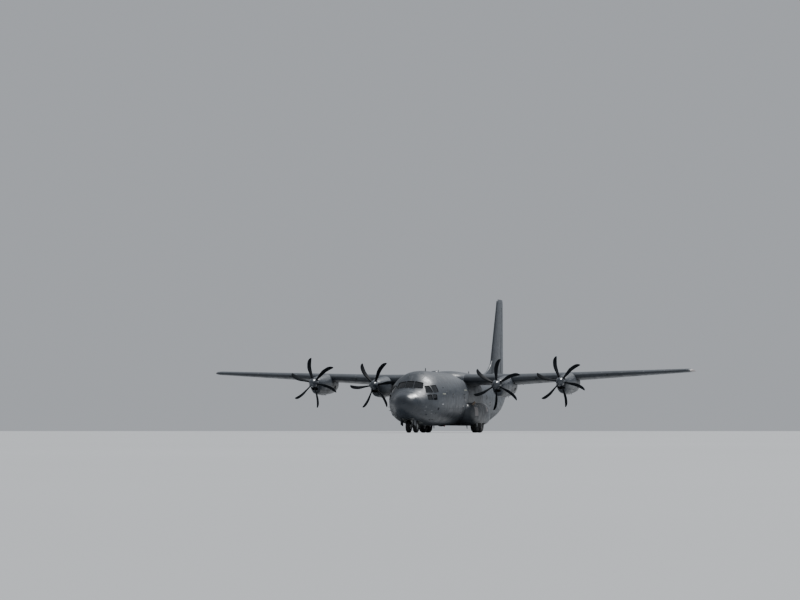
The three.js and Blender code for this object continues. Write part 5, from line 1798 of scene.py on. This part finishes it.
# Columns: front and back station, bottom, top
SIDE_HATCHES = [
    (1.95, 2.15, 1.55, 1.85), (5.3, 5.75, 1.55, 1.95), (8.6, 9.5, 2.05, 3.25),
    (10.5, 10.8, 1.3, 1.7), (19.0, 19.5, 1.2, 2.5), (22.4, 23.0, 2.6, 3.1),
    (26.3, 26.8, 3.6, 4.1),
]
GLOW_STRIPS = [
    (4.5, 5.3, 3.02, 3.09), (11.6, 12.4, 3.42, 3.49), (23.1, 23.9, 3.42, 3.49),
    (29.9, 30.6, 4.3, 4.37),
]
# Columns: half width, front and back station
CROWN_HATCHES = [(0.36, 5.35, 6.05), (0.3, 8.8, 9.3), (0.36, 21.9, 22.6), (0.25, 25.6, 26.1)]
KEEL_HATCHES = [(0.4, 5.2, 5.9), (0.5, 7.4, 8.6), (0.35, 10.6, 11.1), (0.45, 18.6, 19.5)]
hatches = [side_patch(plate(*edges)) for edges in SIDE_HATCHES]
crown = [middle_patch(*edges, 0.1, (4.2, 6)) for edges in CROWN_HATCHES]
keel = [middle_patch(*edges, 0.08, (-1, 1.5)) for edges in KEEL_HATCHES]
finish(heap(both_sides(heap(*hatches)), *crown, *keel), "access_doors", "root",
       fuselage_paint, crease=20)
strip_finish = plain_finish("strip_finish", (0.26, 0.27, 0.22), 0.5, scale=12.0)
glow_strips = [side_patch(plate(*edges, 0.015), 0.005) for edges in GLOW_STRIPS]
finish(both_sides(heap(*glow_strips)), "formation_strips", "root", strip_finish)

# %% [markdown]
# The sponsons have access doors on their flat sides, and some pale plates, as in the
# photograph; the two thin plates along each shoulder are painted highlights. The port one carries
# the exhaust of the auxiliary power unit, and a dark plate of painted shade where its intake opens.

# %% Sponson details
def sponson_patch(cutter, near, far, proud):
    places = stations(near - 0.1, far + 0.1, 0.15)
    layer = cut(loft([sponson_rib(s, inset=-proud) for s in places]),
                loft([sponson_rib(s, inset=0.02) for s in [near - 0.2, *places, far + 0.2]]))
    return combine(layer, cutter, "INTERSECT")


def outer_plate(edges, proud=0.004):
    cutter = block("x", plate(*edges, 0.04), 2.0, 3.2)
    return sponson_patch(cutter, edges[0], edges[1], proud)


SPONSON_DOORS = [(12.35, 12.95, 1.2, 1.75), (15.1, 16.3, 1.45, 2.0), (17.3, 17.9, 1.3, 1.8)]
# The first two plates lie on the flat side. The last two, thin plates along the shoulder, are
# painted highlights.
PALE_AND_HIGHLIGHT_PLATES = [
    (12.85, 13.6, 1.38, 2.1), (16.55, 16.9, 1.75, 2.15), (13.95, 14.2, 2.2, 2.27),
    (15.5, 15.8, 2.14, 2.2),
]
flank = [outer_plate(edges) for edges in SPONSON_DOORS]
finish(both_sides(heap(*flank)), "sponson_doors", "root", fuselage_paint, crease=20)
pale_finish = plain_finish("pale_finish", (0.30, 0.27, 0.265), 0.45, scale=9.0)
pale_and_highlight_plates = [outer_plate(edges, 0.006) for edges in PALE_AND_HIGHLIGHT_PLATES]
marks = [side_patch(outline, 0.005) for outline in (
    [(10.72, 1.98), (11.02, 1.98), (11.02, 2.24)], disc(8.86, 2.1, 0.06, 20),
    plate(11.6, 11.68, 2.5, 2.75, 0.02))]
finish(both_sides(heap(*pale_and_highlight_plates, *marks)), "pale_panels_and_painted_highlights", "root", pale_finish)
# No opening is cut here: a dark plate on the sponson's skin is the intake's painted shade.
mouth = sponson_patch(block("y", plate(1.75, 2.15, 1.75, 2.0, 0.06), 11.8, 13.0), 12.0, 13.0, 0.01)
finish(mouth, "power_unit_intake_shade", "root", shade_and_soot_black)
pipe = cut(rod((2.3, 12.9, 2.2), (2.62, 12.95, 2.5), 0.1),
           rod((2.3, 12.9, 2.2), (2.7, 12.96, 2.58), 0.085))
finish(pipe, "power_unit_exhaust", "root", burnt_finish)

# %% [markdown]
# Aerials are swept blades on the crown and the keel, and low domes over dishes. The probes
# on the nose measure airspeed and point forwards on short stalks.

# %% Aerials and probes
def blade_aerial(x, station, foot, height, chord, rake=0.45):
    """A swept blade, which hangs down where the height is negative."""
    ribs = []
    for part, size in ((0, 1.0), (0.5, 0.82), (0.85, 0.66), (0.96, 0.52), (1.0, 0.3)):
        rib = wing_rib((0, station + abs(height) * rake * part, 0, chord * size, 0.14, 0), 0)
        ribs.append([(half + x, y, foot + height * part) for _, y, half in rib])
    return loft(ribs)


blades = [blade_aerial(*numbers) for numbers in (
    (-0.25, 2.95, 4.24, 0.38, 0.16), (0, 6.85, 4.86, 0.3, 0.36), (0, 11.0, 4.84, 0.24, 0.26),
    (0, 21.1, 4.86, 0.34, 0.4), (0, 24.6, 4.86, 0.28, 0.3), (0, 4.95, 0.62, -0.2, 0.26),
    (0, 6.5, 0.62, -0.32, 0.38), (0, 9.5, 0.62, -0.28, 0.34), (0, 20.5, 0.62, -0.3, 0.36))]
domes = [ball((0, 10.05, 4.86), (0.36, 0.5, 0.14)), ball((0, 22.9, 4.87), (0.2, 0.3, 0.1)),
         ball((0, 12.0, 0.6), (0.26, 0.34, 0.1))]
for station, height, radius in ((2.25, 1.42, 0.09), (5.05, 3.55, 0.07), (10.9, 2.05, 0.09),
                                (32.3, 4.62, 0.1)):
    x = skin_x(station, height) - 0.01
    domes += [ball((side * x, station, height), (radius * 0.7, radius * 1.3, radius))
              for side in (1, -1)]
finish(heap(*blades), "blade_aerials", "root", aerial_finish)
finish(heap(*domes), "aerial_domes", "root", radome_paint)
probes = []
for height in (1.72, 2.0):
    foot = Vector((skin_x(1.72, height) - 0.02, 1.72, height))
    knee = foot + Vector((0.12, -0.06, 0))
    back, front, tip = [knee + Vector((0, step, 0)) for step in (0.05, -0.2, -0.3)]
    probes += [rod(foot, knee, 0.022, 0.018, 16), rod(back, front, 0.02, segments=16),
               rod(front, tip, 0.02, 0.009, 16)]
finish(both_sides(heap(*probes)), "airspeed_probes", "root", steel_finish)
ports = [side_patch(disc(station, 2.25, 0.06, 24), 0.003) for station in (4.35, 4.6)]
vanes = []
for s, z in ((2.6, 1.75), (2.75, 1.5)):
    x = skin_x(s, z)
    vanes.append(rod((x - 0.02, s, z), (x + 0.09, s + 0.03, z - 0.02), 0.014, 0.006, 12))
finish(both_sides(heap(*ports, *vanes)), "static_ports", "root", steel_finish)

# %% [markdown]
# Wipers lie along the foot of the two front windscreens. Lamps: red on the port wing tip,
# green on the starboard, white at the tail, red beacons above and below. The landing lamps
# are switched off, so they are dark glass.

# %% Wipers and lamps
def on_nose(x, height, out=0.014):
    return Vector((x, skin_station(x, height) - out, height))


wipers = []
for start, end in (((0.42, 3.45), (0.85, 3.56)), ((0.3, 3.45), (-0.12, 3.53))):
    pivot = on_nose(*start, 0.0) + Vector((0, 0.03, 0))
    wipers += [rod(on_nose(*start), on_nose(*end), 0.011, segments=10),
               rod(pivot, on_nose(*start, 0.03), 0.022, segments=12)]
finish(heap(*wipers), "windscreen_wipers", "root", aerial_finish)


def wing_surface(x, part, side):
    _, front, height, chord, thickness, incidence = straight_row(WING, x)
    level = middle_line(part, WING_CAMBER, incidence) + side * half_thickness(part, thickness)
    return Vector((x, front + part * chord, height + chord * level))


tip_lamp = ball((20.03, 14.62, 4.985), (0.13, 0.24, 0.05))
finish(tip_lamp.copy(), "tip_lamp_port", "root", red_lamp)
finish(mirrored(tip_lamp), "tip_lamp_starboard", "root", green_lamp)
tip_cap = combine(lifting_part(WING, WING_CAMBER, 19.0, HALF_SPAN, 0.003),
                  slab((20.08, 21), ALL_ALONG, ALL_UP), "INTERSECT")
finish(both_sides(moved(tip_cap, (0.003, 0, 0))), "wing_tip_caps", "root",
       pale_finish)
landing = []
for x in (7.6, 13.4):
    place = wing_surface(x, 0.0, 1) + Vector((0, 0.08, -0.02))
    landing.append(ball(place, (0.14, 0.1, 0.07)))
below = wing_surface(12.0, 0.12, -1)
landing.append(rod(below + Vector((0, 0, 0.02)), below - Vector((0, 0.01, 0.02)), 0.11))
finish(both_sides(heap(*landing)), "landing_lamps", "root", porthole_finish)
finish(ball((0, 34.31, 4.56), (0.05, 0.08, 0.05)), "tail_lamp", "root",
       lamp_finish)
beacons = heap(ball((0, 20.2, 4.9), (0.08, 0.1, 0.11)), ball((0, 13.0, 0.575), (0.08, 0.1, 0.09)),
               ball((0, 32.85, HEIGHT - 0.01), (0.04, 0.07, 0.03)))
finish(beacons, "red_beacons", "root", red_lamp)

# %% [markdown]
# The nacelles have cowling doors along their sides with latches below, and cooling louvres,
# whose slots are dark strips of painted shade.
# Each door is a layer of nacelle skin, a few millimetres thick.

# %% Cowling doors
def nacelle_layer(proud):
    places = stations(0.45, 5.5, 0.15)
    outer = loft([nacelle_rib(place, grow=proud) for place in places])
    inner = loft([nacelle_rib(place, grow=-0.01) for place in [0.4, *places, 5.6]])
    return cut(outer, inner)


def cowl_plates(proud, radius, places):
    """Plates on the port side of a nacelle, each from front to back and bottom to top."""
    layer = nacelle_layer(proud)
    return [combine(layer, block("x", plate(*edges, radius), 0.1, 1.0), "INTERSECT")
            for edges in places]


doors = cowl_plates(0.005, 0.05, [(0.75, 1.75, -0.55, 0.32), (1.83, 2.75, -0.55, 0.38),
                                  (2.85, 3.5, -0.6, 0.0)])
latches = cowl_plates(0.012, 0.008, [(aft, aft + 0.09, -0.6, -0.57)
                                     for aft in (0.95, 1.25, 1.55, 2.0, 2.3, 2.6)])
# Each louvre slot is a dark strip on the skin: painted shade in place of an opening.
louvre_shade_strips = cowl_plates(0.014, 0.01, [(4.0 + 0.09 * i, 4.03 + 0.09 * i, -0.42, -0.18)
                                    for i in range(5)])
cowl_doors, latches_and_louvre_shade = both_sides(heap(*doors)), both_sides(heap(*latches, *louvre_shade_strips))
for name, x, z, station, _, _ in ENGINES:
    for side, sign in (("port", 1), ("starboard", -1)):
        place = (sign * x, station, z)
        finish(moved(cowl_doors.copy(), place), f"cowling_doors_{name}_{side}", "root",
               nacelle_paint, crease=20)
        finish(moved(latches_and_louvre_shade.copy(), place), f"cowling_latches_{name}_{side}", "root",
               boot_finish)

# %% [markdown]
# The studio is a pale floor that runs out to the horizon and a pale sky of the same tone,
# with one wide soft light from above, behind and to port, where the photograph's light falls.

# %% Floor, sky and light
FLOOR_TONE = (0.36, 0.37, 0.38)
SKY_TONE, SKY_STRENGTH = (0.80, 0.84, 0.90, 1.0), 0.5
SUN_STRENGTH, SUN_WIDTH = 5.0, math.radians(16)
SUN_BEARING = Vector((0.36, 0.46, 0.81))
floor_shape = bmesh.new()
bmesh.ops.create_grid(floor_shape, x_segments=1, y_segments=1, size=400)
floor_mesh = bpy.data.meshes.new("studio_floor")
floor_shape.to_mesh(floor_mesh)
floor = bpy.data.objects.new("studio_floor", floor_mesh)
bpy.context.scene.collection.objects.link(floor)
floor_mesh.materials.append(plain_finish("studio_floor_finish", FLOOR_TONE, 0.7, scale=0.3,
                                         variation=0.02, relief=0.0001))

world = bpy.data.worlds.new("studio")
world.use_nodes = True
world.node_tree.nodes["Background"].inputs[0].default_value = SKY_TONE
world.node_tree.nodes["Background"].inputs[1].default_value = SKY_STRENGTH
bpy.context.scene.world = world

sun = bpy.data.lights.new("soft_light", "SUN")
sun.energy = SUN_STRENGTH
sun.angle = SUN_WIDTH
lamp = bpy.data.objects.new("soft_light", sun)
bpy.context.scene.collection.objects.link(lamp)
lamp.rotation_euler = SUN_BEARING.to_track_quat("Z", "Y").to_euler()

# %% [markdown]
# The photograph was taken with a long lens, from ahead, to port of the nose and below.
# The camera stands on the floor at the same bearing. One point under the wing is given its
# place in the photograph, and the lens gives the same number of pixels to a metre.

# %% Camera
PHOTO_SIZE = (800, 600)
BEARING = math.radians(14.4)
DISTANCE = 110.0
PIXELS_PER_METRE = 24.35
AIM_POINT = Vector((0, -1.5925, 1.75))
AIM_PIXEL = (447.2, 390.0)
CAMERA_HEIGHT = 0.08
SENSOR = 36.0

camera_data = bpy.data.cameras.new("camera")
camera = bpy.data.objects.new("camera", camera_data)
bpy.context.scene.collection.objects.link(camera)
camera.location = AIM_POINT + DISTANCE * Vector((math.sin(BEARING), -math.cos(BEARING), 0))
camera.location.z = CAMERA_HEIGHT
camera_data.sensor_width = SENSOR
camera_data.lens = PIXELS_PER_METRE * SENSOR * DISTANCE / PHOTO_SIZE[0]
camera_data.clip_end = 2000
sight = (AIM_POINT - camera.location).normalized()
to_side = math.atan((AIM_PIXEL[0] - PHOTO_SIZE[0] / 2) * SENSOR / PHOTO_SIZE[0] / camera_data.lens)
to_top = math.atan((AIM_PIXEL[1] - PHOTO_SIZE[1] / 2) * SENSOR / PHOTO_SIZE[0] / camera_data.lens)
level = math.asin(sight.z) + to_top
heading = math.atan2(-sight.x, sight.y) + to_side
camera.rotation_euler = (math.pi / 2 + level, 0, heading)
bpy.context.scene.camera = camera
print("lens", round(camera_data.lens, 1), "mm, looking up", round(math.degrees(level), 1))

# %% [markdown]
# Last, the number of pieces and of their faces is printed.

# %% Count and end
print("pieces", len(piece_faces), "faces", sum(piece_faces.values()))
